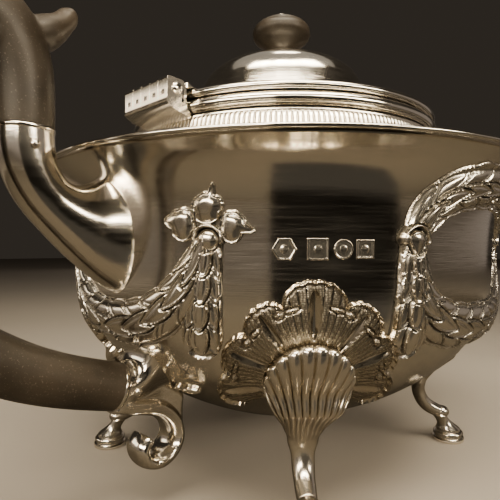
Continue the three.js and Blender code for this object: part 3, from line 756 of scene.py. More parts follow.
def make_upper_socket():
    under = [(-83.45, 84.1), (-83.3, 79.8), (-81.9, 74.6), (-78.8, 69.2), (-74.4, 64.2), (-69.6, 59.4),
             (-65, 55.2), (-60.8, 52.1), (-58.4, 51)]
    over = [(-72.6, 84.1), (-72.4, 80.6), (-71.8, 77.6), (-70.5, 75.3), (-68.6, 74.3), (-66.6, 74.3),
            (-65, 74.8), (-63.6, 75.5), (-62.3, 76.4)]
    rings = between(under, over, ((0, 5.4), (0.4, 5.3), (0.7, 6.2), (1, 7.6)), 120)
    rings = rooted(rings, 180, (63.7, 12.7, 7.8), 0.6)
    lip = rings[:1]
    middle = lip.mean(1, keepdims=True)
    mouth = [middle + (lip - middle) * size + [0, 0, drop] for size, drop in
             ((0.9, 0), (1.0, -0.02), (1.035, -0.2), (1.045, -0.45), (1.035, -0.7), (1.0, -0.9))]
    rings = np.concatenate([*mouth, rings[3:]])
    piece("socket_upper", *lofted(rings), SILVER, "pot", "upper_socket", crease=60)


SOCKET_MOUTH = np.array([-58.7, 30.5])  # the middle of the lower socket's mouth, as x and z
SOCKET_AXIS = np.array([0.958, -0.287])  # the way the lower end of the grip points
SOCKET_RADIUS = 5.15


def trumpet(rows=44, sides=96):
    """The lower socket's root: round at the grip, and flared like a fan where it meets the bowl."""
    turn = full_turn(sides)
    v = 31.8 + 8.4 * np.cos(turn)
    reach = np.interp(v, [23.4, 27.7, 31.5, 35.2, 38, 39.2, 40.2], [3.4, 3.9, 5.7, 8.2, 13.4, 20, 22])
    foot = on_bowl(180, np.sin(turn) * reach, v, np.full(sides, -0.9))
    foot[:, 1] = np.sin(turn) * reach
    mouth = np.stack([SOCKET_MOUTH[0] - SOCKET_RADIUS * SOCKET_AXIS[1] * np.cos(turn),
                      SOCKET_RADIUS * np.sin(turn),
                      SOCKET_MOUTH[1] + SOCKET_RADIUS * SOCKET_AXIS[0] * np.cos(turn)], -1)
    axis = np.array([SOCKET_AXIS[0], 0, SOCKET_AXIS[1]])
    wall = np.array([-0.69, 0, -0.72])
    across = mouth - foot
    lateral = across - (across @ wall)[:, None] * wall
    rings = []
    for t in np.linspace(0, 1, rows):
        rings.append((1 - t) ** 3 * foot + 3 * t * (1 - t) ** 2 * (foot + 0.62 * lateral)
                     + 3 * t**2 * (1 - t) * (mouth + 4.6 * axis) + t**3 * mouth)
    return np.array(rings)[::-1]


def make_lower_socket():
    """The lower socket: a flared root, a lip, a beaded scroll below, and an ear each side on the bowl."""
    scroll_path = eased([(-60.2, 26.2), (-56.5, 25.6), (-52.2, 24.7), (-47.6, 22.9), (-44.2, 19.6),
                         (-43.0, 15.9), (-44.5, 12.6), (-48, 10.9), (-51.6, 12), (-52.8, 15),
                         (-51, 17.2)], 160, 10)
    t = np.linspace(0, 1, len(scroll_path))
    thick = stations(t, (0, 1.2), (0.15, 2.0), (0.5, 2.0), (0.8, 1.7), (1, 1.9))
    scroll = lofted(plane_sweep(scroll_path, thick, stations(t, (0, 3.6), (0.25, 4.4), (0.7, 4.3), (1, 3.8))))
    web = [(-57, 27.2), (-52, 31), (-46, 29), (-43.2, 27), (-41.6, 25.6), (-42.0, 22), (-42.0, 18),
           (-44.6, 18), (-47, 21.5), (-52, 24), (-57, 25.4)]
    solids = [lofted(trumpet()), scroll, prism(web, -3.5, 3.5, 0.6)]
    length = 110  # of the scroll's 160 points, how many have a bead along each edge
    for side in (-1, 1):
        radius = np.full(length, 0.68)
        bead = plane_sweep(scroll_path[8:8 + length], radius, radius, 16)
        bead[:, :, 1] += side * 3.9
        bead[:, :, 2] += (1.15 - 0.6 * smooth(np.linspace(0, 1, length), 0.2, 0.7))[:, None]
        solids.append(lofted(bead))
    ball, faces = turned([(0, -1), *arc(0, 0, 1, -80, 80, 14), (0, 1)], 40)
    studs = []
    for side in (-1, 1):
        for u, v, along, high in ((9.0, 28.9, 3.1, 1.15), (5.5, 28.7, 0.85, 0.85), (4.0, 28.2, 0.65, 0.7),
                                  (9.9, 35.7, 0.55, 0.55)):
            lie = math.degrees(side * u / bowl_radius(v))
            stud = turn_about_z(ball * [1.1 * high, along, high], lie) + on_bowl(180, side * u, v, 0.25)
            studs.append((stud, faces))
    casting = joined(remeshed(solids, 0.28, 12), *studs)
    piece("socket_lower", *casting, SILVER, "pot", "lower_socket", crease=80)
    band = SOCKET_MOUTH + np.linspace(-0.6, 0.35, 9)[:, None] * SOCKET_AXIS
    size = 4.95 + 0.36 * np.sqrt(np.clip(1 - np.linspace(-1, 1, 9) ** 4, 0, 1))
    piece("socket_lower_collar", *lofted(plane_sweep(band, size, size, 72)), SILVER, "pot", crease=60)


RIVET_RADIUS = 0.9
# One half of a rivet: places along its half length and radii, as shares of the whole.
RIVET = [(0.88, 0.9), (0.92, 0.95), (0.955, 0.8), (0.985, 0.5), (1, 0.15)]


def make_rivet(name, node):
    """A rivet right through a socket, with a small domed head at each end."""
    low, high = at_mm(node)
    reach = high[1] - 0.1
    sections = [(y * reach, radius * RIVET_RADIUS)
                for y, radius in [*[(-y, radius) for y, radius in RIVET[::-1]], *RIVET]]
    piece(name, *peg((low[0] + high[0]) / 2, (low[2] + high[2]) / 2, sections, 36), CAST, "pot", node)


# ---- Spout ----
SPOUT_WALL = 0.95
SPOUT_BORE = 110  # how many of the path's 150 points the open bore runs down from the mouth
SPOUT_BAND = slice(136, 141)  # the path's points under the plain band


def make_spout():
    path = eased([(52, 48.6), (58, 49.9), (70, 54.5), (81.5, 64), (89.5, 77), (97, 90.5),
                  (107.9, 100.4)], 150)
    t = np.linspace(0, 1, len(path))
    high = stations(t, (0, 15.5), (0.2, 12.8), (0.45, 9.3), (0.75, 5.9), (0.95, 4.75), (1, 4.9))
    wide = stations(t, (0, 12), (0.2, 10), (0.45, 7.8), (0.75, 5.5), (0.95, 4.75), (1, 4.9))
    outer = rooted(plane_sweep(path, high, wide, 72)[::-1], 0, (49.5, 15.5, 11.8), 0.66)[::-1]
    inner = plane_sweep(path, high - SPOUT_WALL, wide - SPOUT_WALL, 72)[::-1][:SPOUT_BORE]
    lip = (outer[-1:] + inner[:1]) / 2
    push = np.array([0.35, 0, 0.3])
    edge = [lip * (1 - near) + ring * near + push * out for ring, near, out in
            ((outer[-1:], 0.6, 0.7), (lip, 0, 1), (inner[:1], 0.6, 0.7))]
    piece("spout_body", *lofted(np.concatenate([outer, *edge, inner])), SILVER, "pot", "spout", crease=60)
    swell = np.array([0.02, 0.32, 0.45, 0.32, 0.02])
    band = plane_sweep(path[SPOUT_BAND], high[SPOUT_BAND] + swell, wide[SPOUT_BAND] + swell, 72)
    piece("spout_band", *lofted(band), SILVER, "pot")


# ---- Feet ----
RIBS = 12
POINTS_PER_RIB = 14
CUP_CENTRE = 33.7  # the height of the middle of the cup's round rim
CUP_RADIUS = 9.05
CUP_SPREAD = 112  # degrees round the rim from its top to where the stem's sides reach it
STEM_TOP = 23.4
STEM_HALF = 4.75  # half the stem's width at its top
FOOT_PAD = [(0, 0), (4.4, 0), (4.72, 0.25), (4.8, 0.75), (4.6, 1.25), (4.1, 1.45), (4.05, 1.75), (4.4, 2.0),
            (4.45, 2.5), (4.15, 2.95), (3.6, 3.1), (3.5, 3.4), (3.6, 3.7), (3.3, 4.15), (2.7, 4.9),
            (2.3, 5.9), (2.2, 7), (2.5, 8), (1.6, 9.1), (0, 9.4)]


def foot_solid():
    """One foot, pointing along +X: a fluted cup, a bent stem with a curled toe, and a stepped pad."""
    x = np.linspace(-1, 1, POINTS_PER_RIB * RIBS + 1)
    b = np.sin(math.pi * x / 2)
    lobe = dome((RIBS * (x + 1) / 2) % 1 * 2 - 1)
    stem = eased([(50.9, 9.0), (49.6, 9.5), (46.9, 11.0), (44.9, 13.4), (43.9, 16.8), (44.4, 20.2),
                  (46.4, STEM_TOP)], 46, passes=6)
    t = np.linspace(0, 1, len(stem))
    half_deep = stations(t, (0, 1.2), (0.06, 2.0), (0.3, 2.15), (0.7, 1.95), (1, 2.1))
    half_wide = stations(t, (0, 1.3), (0.06, 2.1), (0.3, 2.3), (0.6, 2.6), (0.8, 3.5), (1, STEM_HALF))
    swell = np.sqrt(1 - b**2)
    rings = []
    for station, place, (tx, tz), deep, wide in zip(t, stem, direction(stem), half_deep, half_wide):
        flute = (0.3 * lobe - 0.2) * smooth(station, 0.82, 1) * smooth(1 - np.abs(x), 0, 0.12)
        front, back = [np.stack([place[0] + tz * out, wide * b, place[1] - tx * out], -1)
                       for out in (deep * swell + flute * swell, -deep * swell * 0.9)]
        rings.append(np.vstack([front, back[-2:0:-1]]))
    reach = math.radians(CUP_SPREAD) * x
    rim_radius = CUP_RADIUS - 0.1 + 0.4 * lobe
    for step in np.linspace(0, 1, 50)[1:]:
        f = 1 - (1 - step) ** 1.35
        bb = b * (1 - f) + x * f
        u = ((1 - f) ** 2 * STEM_HALF * bb + 2 * f * (1 - f) * (STEM_HALF * bb + 3.3 * x)
             + f**2 * rim_radius * np.sin(reach))
        v = ((1 - f) ** 2 * STEM_TOP + 2 * f * (1 - f) * (STEM_TOP + 8.2 - 3.2 * np.abs(x) ** 1.5)
             + f**2 * (CUP_CENTRE + rim_radius * np.cos(reach)))
        wall = np.sqrt(np.maximum(bowl_radius(v) ** 2 - u**2, 0)) + 1.5
        leaning = np.maximum(wall, stem[-1][0] + (v - STEM_TOP) * 1.02)
        floor = leaning + (wall - leaning) * smooth(v, 27, 33)
        crown = (1 - np.abs(x) ** 2.6) ** 0.6
        edge = math.sqrt(max(0.0, 1 - max(0.0, (f - 0.72) / 0.28) ** 2.2))
        tall = np.interp(f, [0, 0.35, 0.7, 1], [2.1, 2.7, 3.3, 3.1])
        rib = (1.15 * lobe - 0.8) * (0.35 + 0.65 * edge) * (0.26 + 0.74 * smooth(f, 0, 0.4))
        rise = (0.35 + tall * crown * (0.25 + 0.75 * edge)) + rib * smooth(1 - np.abs(x), 0, 0.06)
        rise = np.where(f >= 1, 0.3, rise)
        front = np.stack([floor + rise, u, v], -1)
        back = np.stack([floor - 2.1 * (1 - f) * np.sqrt(1 - bb**2) - 0.25, u, v], -1)
        rings.append(np.vstack([front, back[-2:0:-1]]))
    low = at_mm("foot_front_left")[0][2]
    pad, pad_faces = turned([(radius, low + z) for radius, z in FOOT_PAD], 64)
    lean = smooth(pad[:, 2], 3.4, 8.5)
    pad[:, 0] = pad[:, 0] * (1 - 0.12 * lean) + 53.85 - 2.9 * lean
    toe, toe_faces = turned([(0, 7.1), *arc(0, 8.95, 1.9, -80, 80, 12), (0, 10.85)], 40)
    return fused(lofted(np.array(rings)), (pad, pad_faces), (toe * [1.25, 1.25, 1] + [51.6, 0, 0], toe_faces))


def make_feet():
    points, faces = foot_solid()
    for name, angle in FOOT_ANGLES.items():
        piece("leg_" + name, turn_about_z(points, angle), faces, CAST, "pot", "foot_" + name, crease=50)


# ---- Shells behind the feet ----
SHELL_ORIGIN = 34.0  # the height of the point that the flutes fan out from
# Each lobe's middle and half width in degrees from the top, and its reach.
LOBES = [(0, 20.5, 21.1), (35.3, 14.8, 19.4), (66.3, 16.2, 18.7), (100, 17.5, 18.9)]
NOTCHES = [16.9, 16.4, 16.0, 12.5]  # the outline's radius at each lobe's outer edge
SHELL_END = 117.3  # degrees each way from the top
# Two curls beside each notch: degrees and millimetres from it, half length, half width and height.
CURLS = ((-4.6, -0.7, 1.45, 0.5, 1.25), (4.2, -0.8, 0.95, 0.75, 1.35))


def shell_height(U, V):
    angle = np.degrees(np.arctan2(U, V - SHELL_ORIGIN))
    reach = np.hypot(U, V - SHELL_ORIGIN)
    away = np.abs(angle)
    outline, bands, flute = np.zeros_like(U), np.zeros_like(U), np.zeros_like(U)
    for k, (middle, half, top) in enumerate(LOBES):
        x = (away - middle) / half
        here = np.abs(x) <= 1
        side = np.where(x < 0, NOTCHES[max(k - 1, 0)], NOTCHES[k])
        bow = np.clip(1 - np.abs(x) ** 2.3, 0, 1) ** 0.55
        edge = side + (top - side) * bow + 0.34 * np.abs(np.sin((x + 1) * math.pi * 3)) * bow
        outline = np.where(here, edge, outline)
        width = reach * math.radians(1) * half * np.abs(x)
        f = np.clip((reach / edge - 0.46) / 0.46, 0, 1)
        slim = 0.12 + (1.3 if k == 0 else 0.9) * np.sin(math.pi * f ** 1.2) ** 0.6
        cut = np.clip(1 - width / slim, 0, 1) ** 0.75 * (f > 0) * (f < 1)
        flute = np.where(here, cut, flute)
        place = np.clip((np.abs(x) - 0.22) / 0.26, 0, 3)
        bands = np.where(here, np.where(np.abs(x) < 0.22, 0.5, np.abs(place % 1 * 2 - 1)), bands)
    inside = outline - reach
    rim = ridge(inside - 0.36, 0.26)
    groove = smooth(bands, 0.5, 0.95) * smooth(reach, 7, 12) * (1 - rim)
    bed = 0.7 + 0.3 * smooth(reach, 8, 18) - 0.2 * groove
    height = bed - 1.0 * flute - 0.3 * ridge(inside - 0.9, 0.3) + 0.7 * rim
    for (middle, half, _), notch in zip(LOBES[:-1], NOTCHES):
        for side in (-1, 1):
            for step, out, long, wide, tall in CURLS:
                turn = math.radians(side * (middle + half + step))
                far = notch + out
                du, dv = U - far * math.sin(turn), V - SHELL_ORIGIN - far * math.cos(turn)
                near = np.hypot((du * math.cos(turn) - dv * math.sin(turn)) / long,
                                (du * math.sin(turn) + dv * math.cos(turn)) / wide)
                height = np.where((near > 1) & (near < 1.45), np.minimum(height, 0.5), height)
                height = np.where(near < 1, 0.45 + (tall - 0.45) * dome(near), height)
    height = height * smooth(inside, -0.05, 0.2) + BLANK * (1 - smooth(inside, -0.22, 0.02))
    height = np.where(away > SHELL_END, BLANK, height)
    matt = smooth(inside, 0.8, 1.2) * (1 - smooth(flute, 0.02, 0.15)) * smooth(reach, 8, 11)
    matt *= 1 - smooth(groove, 0.15, 0.5)
    groove_shade = groove * smooth(inside, 0.9, 1.4) * smooth(reach, 10, 13)
    # Painted shade and tarnish: the hollows, grooves and flutes are darkened in colour.
    dark = 0.6 * hollows(height, 6, 0.5) + 0.25 * groove_shade + 0.15 * flute
    return {"height": height, "hollow": np.clip(dark * smooth(inside, 0.55, 0.95), 0, 1), "matt": matt}


def make_shells():
    for name, angle in FOOT_ANGLES.items():
        relief("shell_" + name, angle, (-20.6, 20.6), (24.8, 56.2), 0.19, shell_height, MATTED,
               "shell_mount_" + name)


# ---- Laurel work ----
LEAF_RIM = 0.2  # how far a leaf's raised edge stands above its middle
LEAF_DISH = 0.1
LEAF_LEAN = 0.3  # radians between a garland's side leaves and its path


def paint_leaf(field, x, y, heading, length, half, lift, ground, sharp=0.8):
    """Lays one leaf over a relief: it starts at (x, y), and its edge stands up round a dished middle."""
    U, V, height = field["U"], field["V"], field["height"]
    c, s = math.cos(heading), math.sin(heading)
    a = ((U - x) * c + (V - y) * s) / length
    b = -(U - x) * s + (V - y) * c
    f = np.clip(a, 0, 1)
    outline = f**0.5 * (1 - f) ** sharp
    outline /= (0.5 / (0.5 + sharp)) ** 0.5 * (sharp / (0.5 + sharp)) ** sharp
    inside = np.where((a > 0) & (a < 1), half * outline - np.abs(b), -1)
    near = np.minimum(inside, (1 - a) * length * 0.5)
    leaf = ground + lift + LEAF_RIM * ridge(near - 0.2, 0.17) - LEAF_DISH * ridge(near - 0.6, 0.25)
    leaf += 0.12 * smooth(near, 0.5, 1.4)
    around = (inside < 0) & (inside > -0.3) & (a > 0.02) & (a < 1.03)
    height[:] = np.where(around, np.minimum(height, ground + 0.05), height)
    edge = smooth(near, -0.02, 0.16)
    height[:] = np.where(inside > -0.02, np.minimum(leaf, ground + 0.05 + (leaf - ground) * edge), height)


def paint_outline(field, outline, ground, lift, rim, pillow, scallop):
    """Lays a leaf of any outline over a relief: a bright raised edge round a softly domed middle."""
    p = np.array(outline, float)
    if scallop:
        centre = p.mean(0)
        edge = []
        for a, b in zip(p, np.roll(p, -1, axis=0)):
            t = np.linspace(0, 1, 9)[:-1, None]
            out = (a + b) / 2 - centre
            bulge = scallop * np.linalg.norm(b - a) * out / np.linalg.norm(out)
            edge.append(a + (b - a) * t + bulge * 4 * t * (1 - t))
        p = np.vstack(edge)
    else:
        p = spline(np.vstack([p[-1:], p, p[:2]]), 90)[9:-9]
    U, V, height = field["U"], field["V"], field["height"]
    away = np.full(U.shape, 1e9)
    within = np.zeros(U.shape, bool)
    for a, b in zip(p, np.roll(p, -1, axis=0)):
        d = b - a
        f = np.clip(((U - a[0]) * d[0] + (V - a[1]) * d[1]) / max(d @ d, 1e-9), 0, 1)
        away = np.minimum(away, np.hypot(U - a[0] - f * d[0], V - a[1] - f * d[1]))
        crosses = ((a[1] > V) != (b[1] > V)) & (U < (b[0] - a[0]) * (V - a[1]) / (b[1] - a[1] + 1e-12) + a[0])
        within ^= crosses
    inside = np.where(within, away, -away)
    leaf = ground + lift + rim * ridge(inside - 0.2, 0.16) - 0.1 * ridge(inside - 0.5, 0.2)
    leaf += pillow * blurred(np.clip(inside, 0, 1.5), 16) / 1.2
    around = (inside < 0) & (inside > -0.3) & (height > -0.2)
    height[:] = np.where(around, np.minimum(height, ground + 0.1), height)
    height[:] = np.where(inside > 0, ground + (leaf - ground) * smooth(inside, -0.02, 0.2), height)


def paint_dome(field, x, y, half_x, half_y, tall, ground, groove=0.35):
    """Lays a berry or a pearl over a relief, with a groove round it."""
    near = np.hypot((field["U"] - x) / half_x, (field["V"] - y) / half_y)
    size = min(half_x, half_y)
    height = field["height"]
    ring = (near > 1) & (near < 1 + groove / size)
    height[:] = np.where(ring & (height > -0.2), np.minimum(height, np.maximum(ground, 0.1)), height)
    height[:] = np.where(near < 1, ground + tall * dome(near), height)


def blank(U, V):
    return {"U": U, "V": V, "height": np.full_like(U, BLANK)}


def done(field, depth=0.38):
    """A finished relief, with its hollows marked for painted shade and tarnish."""
    field["hollow"] = hollows(field["height"], 7, depth)
    return field


def along_path(path, U, V):
    """How far along a path each grid point is, how far to its left, and the path's length."""
    step = np.hypot(*np.gradient(path, axis=0).T)
    length = np.concatenate([[0], np.cumsum(np.hypot(*np.diff(path, axis=0).T))])
    tangent = np.gradient(path, axis=0) / step[:, None]
    flat = np.stack([U.ravel(), V.ravel()], -1)
    nearest = np.empty(len(flat), int)
    for part in np.array_split(np.arange(len(flat)), 12):
        gap = flat[part, None, :] - path[None]
        nearest[part] = (gap**2).sum(-1).argmin(1)
    gap = flat - path[nearest]
    tan = tangent[nearest]
    s = length[nearest] + (gap * tan).sum(-1)
    left = tan[:, 0] * gap[:, 1] - tan[:, 1] * gap[:, 0]
    return s.reshape(U.shape), left.reshape(U.shape), length[-1]


def garland(path, half_width, tall, units, meet, knot=False, ring=None):
    """A cord of overlapping laurel leaves along a path, which point towards the place where they meet."""
    path = eased(path, 400, passes=30)

    def height(U, V):
        field = blank(U, V)
        s, side, total = along_path(path, U, V)
        share = np.clip(s / total, 0, 1)
        half = half_width(share)
        b = np.clip(np.abs(side) / half, 0, 1)
        ends = smooth(s, -0.4, 0.6) * smooth(total - s, -0.4, 0.6)
        ground = 0.72 * tall(share) * np.sqrt(1 - b**2.4) * ends
        field["height"] = np.where((np.abs(side) < half) & (ends > 0), ground - 0.05, BLANK)
        local = {"U": s, "V": side, "height": field["height"]}
        pitch = total / units
        order = sorted(range(units), key=lambda k: -abs((k + 0.5) / units - meet))
        for k in reversed(order):
            middle = (k + 0.5) / units
            forward = middle < meet
            way = 0.0 if forward else math.pi
            start = (k + (0.1 if forward else 0.9)) * pitch
            w = float(half_width(np.array([middle]))[0])
            for hand in (-1, 1):
                turn = way + hand * LEAF_LEAN * (1 if forward else -1)
                paint_leaf(local, start, hand * w * 0.34, turn, pitch * 1.75, w * 0.5, 0.42, ground)
            paint_leaf(local, start, 0, way, pitch * 1.75, w * 0.46, 0.7, ground)
        if knot:
            for along, aside in ((-1.3, 0), (1.3, 0), (0, 1.5), (0, -1.5), (0, 0)):
                paint_dome(local, total / 2 + along, aside, 1.0, 1.0, 1.0, 2.0, 0.25)
        field["height"] = local["height"]
        if ring:
            clear = np.hypot(np.abs(U) - ring[0], V - ring[1]) < RING_OUTSIDE
            field["height"] = np.where(clear, BLANK, field["height"])
        return done(field)

    return height


def mirrored(points):
    return [*points, *[(-x, y) for x, y in points[-2::-1]]]


FESTOON = mirrored([(-25.6, 64), (-24.6, 60.6), (-22.4, 56), (-18.9, 51.6), (-14, 48), (-8, 45.7), (0, 44.9)])
WREATH_FOOT = mirrored([(-26, 62.5), (-25.9, 57.5), (-24.5, 52.6), (-21.6, 48.9), (-17, 46.2), (-11.5, 44.8),
                        (-5.5, 44.2), (0, 44.1)])
WREATH_TOP = mirrored([(-26, 61.5), (-25, 65.4), (-22.6, 69), (-18.6, 71.8), (-14, 73.3), (-9.5, 74.1),
                       (0, 74.6)])
DROP_RING = (26.1, 62.9)  # where the side drops' rings lie beside each wreath's middle
RING_OUTSIDE = 3.3  # the space round a ring that ornament keeps clear
SPOUT_SWAG = [(25.6, 64), (24.4, 60), (21.6, 55), (17.8, 51), (13.6, 48.4)]
GARLAND_STEP = 0.22  # the garlands' grid


def from_middle(t, *pairs):
    """A value that depends on how far t is from the middle of a path: 0 there and 1 at its ends."""
    return stations(np.abs(2 * np.clip(t, 0, 1) - 1), *pairs)


def make_garlands():
    hang = garland(
        FESTOON, lambda t: from_middle(t, (0, 4.3), (0.45, 4.15), (0.72, 3.4), (0.9, 2.3), (1, 1.3)),
        lambda t: from_middle(t, (0, 2.7), (1, 1.7)), 11, 0.5)
    relief("festoon_laurel", 180, (-27.5, 27.5), (39.5, 66.5), GARLAND_STEP, hang, CAST, "festoon_handle")
    foot = garland(
        WREATH_FOOT, lambda t: from_middle(t, (0, 4.35), (0.5, 4.1), (0.72, 3.4), (0.88, 2.7), (1, 2.4)),
        lambda t: from_middle(t, (0, 2.6), (1, 1.7)), 12, 0.5, ring=DROP_RING)
    top = garland(
        WREATH_TOP, lambda t: from_middle(t, (0, 3.2), (0.6, 3.8), (0.85, 3.3), (1, 2.4)),
        lambda t: from_middle(t, (0, 2.3), (1, 1.7)), 10, 0.5, knot=True, ring=DROP_RING)
    for side, angle in (("front", -90), ("back", 90)):
        for part, heights, span in (("low", foot, (38.8, 63.5)), ("high", top, (60.5, 78.6))):
            node = f"wreath_{'lower' if part == 'low' else 'upper'}_{side}"
            relief(f"wreath_{part}_{side}", angle, (-31, 31), span, GARLAND_STEP, heights, CAST, node)
    for hand, way in (("a", -1), ("b", 1)):
        swag = garland([(way * x, z) for x, z in SPOUT_SWAG],
                       lambda t: stations(t, (0, 1.3), (0.4, 2.8), (0.8, 3.4), (1, 3.1)),
                       lambda t: 1.7 + 0.6 * t, 5, 1.0)
        span = sorted((way * 9, way * 28))
        relief("swag_" + hand, 0, span, (44, 67), GARLAND_STEP, swag, CAST, "swag_spout_" + hand)


DROP_LENGTH = 24.0
DROP_END = 4.3  # the radius of a drop's round end
DROP_UNITS = 4
DROP_BUD = [(-2.1, 0.2), (-1.5, 1.5), (0, 2), (1.5, 1.5), (2.1, 0.2), (1.3, -1.8), (0, -3.6), (-1.3, -1.8)]
DROP_LEAN = {"handle": 2.9, "spout": 2.9, "front": 0.5, "back": 0.5}  # its end's distance inwards


def drop_height(lean, pointed):
    """A hanging bunch of leaves with a thin raised border, below a ring and a bud."""

    def height(U, V):
        tie = GARLAND_TIE - 2.1
        s = tie - V
        f = np.clip(s / DROP_LENGTH, 0, 1)
        U = U - lean * f ** 1.1
        field = blank(U, V)
        half = np.interp(f, [0, 0.3, 0.6, 0.8, 1], [2.9, 3.45, 4.2, 4.35, DROP_END])
        below = s - (DROP_LENGTH - DROP_END)
        inside = np.where(below > 0, DROP_END - np.hypot(U, below), half - np.abs(U))
        inside = np.where(s > 0, inside, -1)
        ground = 0.55 + 0.5 * smooth(inside, 0.4, half)
        base = ground + 0.6 * ridge(inside - 0.3, 0.22) - 0.2 * ridge(inside - 0.85, 0.3)
        field["height"] = np.where(inside > 0, base * smooth(inside, -0.02, 0.2), field["height"])
        for k in reversed(range(DROP_UNITS)):
            start = tie - 1.2 - k * 5.0
            w = float(np.interp(tie - start, [0, DROP_LENGTH], [2.5, 3.8]))
            down = -math.pi / 2
            for hand in (-1, 1):
                paint_leaf(field, hand * w * 0.2, start + 0.6, down + hand * 0.36, 7.2, w * 0.5, 0.45, ground)
            paint_leaf(field, 0, start + 0.3, down, 6.6, w * 0.52, 0.95, ground, sharp=0.6)
        ring = np.hypot(U, V - tie)
        arch = V > tie - 0.8
        seat = np.clip(field["height"], 0.3, 0.5)
        field["height"] = np.where(arch & (ring < RING_OUTSIDE), seat, field["height"])
        wire = (2.0 if pointed else 1.75) * dome((ring - 2.78) / 0.42) * arch
        field["height"] = np.where(wire > 0, np.maximum(field["height"], wire), field["height"])
        if pointed:
            bud = [(x, tie + y) for x, y in DROP_BUD]
            paint_outline(field, bud, 0.4, 0.9, rim=0.3, pillow=0.6, scallop=0)
        else:
            paint_dome(field, 0, tie - 0.15, 2.25, 2.2, 1.5, 0.45)
        return done(field)

    return height


TREFOIL = (  # the left, right and top leaves
    [(-2.6, 66.4), (-3.7, 68.8), (-6.2, 69.0), (-8.1, 68.0), (-9.5, 66.7), (-8.0, 65.0), (-6.9, 63.1),
     (-4.7, 62.5), (-3.1, 64.2)],
    [(2.6, 66.4), (3.2, 67.9), (4.8, 68.4), (6.6, 67.7), (7.8, 66.0), (9.3, 64.3), (6.9, 63.9), (5.3, 62.1),
     (3.1, 62.9)],
    [(-2.0, 66.3), (-2.7, 68.2), (-3.0, 70.0), (-1.3, 71.6), (0.4, 72.0), (1.5, 73.7), (1.9, 71.4),
     (3.2, 70.2), (2.6, 67.8), (1.9, 66.3)],
)


def trefoil_height(way):
    """A flower of three plain leaves, mirrored where way is -1."""

    def height(U, V):
        field = blank(U, V)
        for outline in TREFOIL:
            flipped = [(way * x, y) for x, y in outline]
            paint_outline(field, flipped, 0.0, 0.6, rim=0.36, pillow=0.9, scallop=0.16)
        return done(field, 0.6)

    return height


def make_drops():
    for side, middle in (("handle", 180), ("spout", 0), ("front", -90), ("back", 90)):
        for hand, way in (("a", -1), ("b", 1)):
            angle = middle + way * GARLAND_SPAN
            name = f"{side}_{hand}"
            flowered = side in ("handle", "spout")
            drop = drop_height(-way * DROP_LEAN[side], pointed=not flowered)
            relief("drop_" + name, angle, (-8.2, 8.2), (38.0, 67.4), 0.19, drop, CAST, "laurel_drop_" + name)
            if flowered:
                relief("trefoil_" + name, angle, (-10.8, 10.8), (61.2, 74.6), 0.17, trefoil_height(way), CAST,
                       "flower_" + name)


# ---- Small struck marks, plain shapes only ----
MARKS_LINE = 61.0  # the height of the row's middle
# Each mark's middle, half width and kind.
MARKS = ((-5.75, 2.1, "hexagon"), (0.55, 2.1, "square"), (5.45, 1.95, "disc"), (9.75, 1.85, "square"))


def marks_height(U, V):
    """A row of plain punched outlines, each with a dot in its middle."""
    field = np.full_like(U, BLANK)
    for x0, half, kind in MARKS:
        x, y = np.abs(U - x0), np.abs(V - MARKS_LINE)
        if kind == "square":
            inside = half - np.maximum(x, y)
        elif kind == "disc":
            inside = half - np.hypot(x, y)
        else:
            inside = half - np.maximum(y, 0.5 * y + 0.866 * x)
        raised = 0.13 * ridge(inside - 0.2, 0.17) + 0.03
        centre = 0.15 * dome(np.hypot(x, y) / 0.75)
        field = np.where(inside > 0, np.maximum(raised, 0.03 + centre), field)
    # Painted shade and tarnish inside the punched outlines.
    return {"height": field, "hollow": hollows(field, 4, 0.1)}


def make_marks():
    relief("struck_marks", -135, (-8.6, 12.4), (58.4, 63.6), 0.12, marks_height, CAST)


# ---- Build ----
make_bowl()
make_rim()
make_shoulder()
make_gallery()
make_collar()
make_lid()
make_finial()
make_hinge()
make_grip()
make_upper_socket()
make_lower_socket()
make_rivet("rivet_upper", "upper_socket_rivet")
make_rivet("rivet_lower", "lower_socket_rivet")
make_spout()
make_feet()
make_shells()
make_garlands()
make_drops()
make_marks()


# ---- Studio, in metres ----
CAMERA_PLACE = (-0.11153, -0.08995, 0.061)
CAMERA_WAY = (0.7329, 0.6803)  # the way it looks, as x and y
CAMERA_TURN = math.atan2(-CAMERA_WAY[0], CAMERA_WAY[1])
CAMERA_DROP = 0.09  # degrees below level
LENS = 32.4  # millimetres, on a sensor 36 mm wide
WARM_WHITE = (1, 0.93, 0.82)
CREAM = (1, 0.885, 0.70)
AMBER = (1, 0.865, 0.76)
POOL = 56  # the beam of the small lamps, in degrees
AIM = Vector((0, 0, 0.07))  # the teapot's middle
FLOOR_HALF = 3.0
MAT_RADIUS = 0.34
MAT_HEIGHT = 0.0012  # just clear of the floor


def panel(name, place, size, radiance, colour, beam=180):
    """A soft lamp turned to the teapot, hidden from the camera. A narrow beam leaves its radiance alone."""
    lamp = bpy.data.lights.new(name, "AREA")
    lamp.shape = "RECTANGLE"
    lamp.size, lamp.size_y = size
    lamp.energy = radiance * math.pi * size[0] * size[1]
    if beam < 180:
        half = math.radians(beam / 2)
        lamp.spread = 2 * half
        lamp.energy *= (math.tan(half) - half) / math.tan(half)
    lamp.color = colour
    obj = placed(name, lamp)
    obj.location = place
    obj.rotation_euler = (AIM - Vector(place)).to_track_quat("-Z", "Y").to_euler()
    obj.visible_camera = False


def card(name, points, faces, material):
    """A flat piece of the studio."""
    mesh = mesh_of(name, points, faces)
    mesh.materials.append(material)
    obj = placed(name, mesh)
    return obj


def only_reflected(obj):
    """Leaves a card to the silver's reflections alone."""
    obj.visible_camera = False
    obj.visible_shadow = False
    obj.visible_diffuse = False


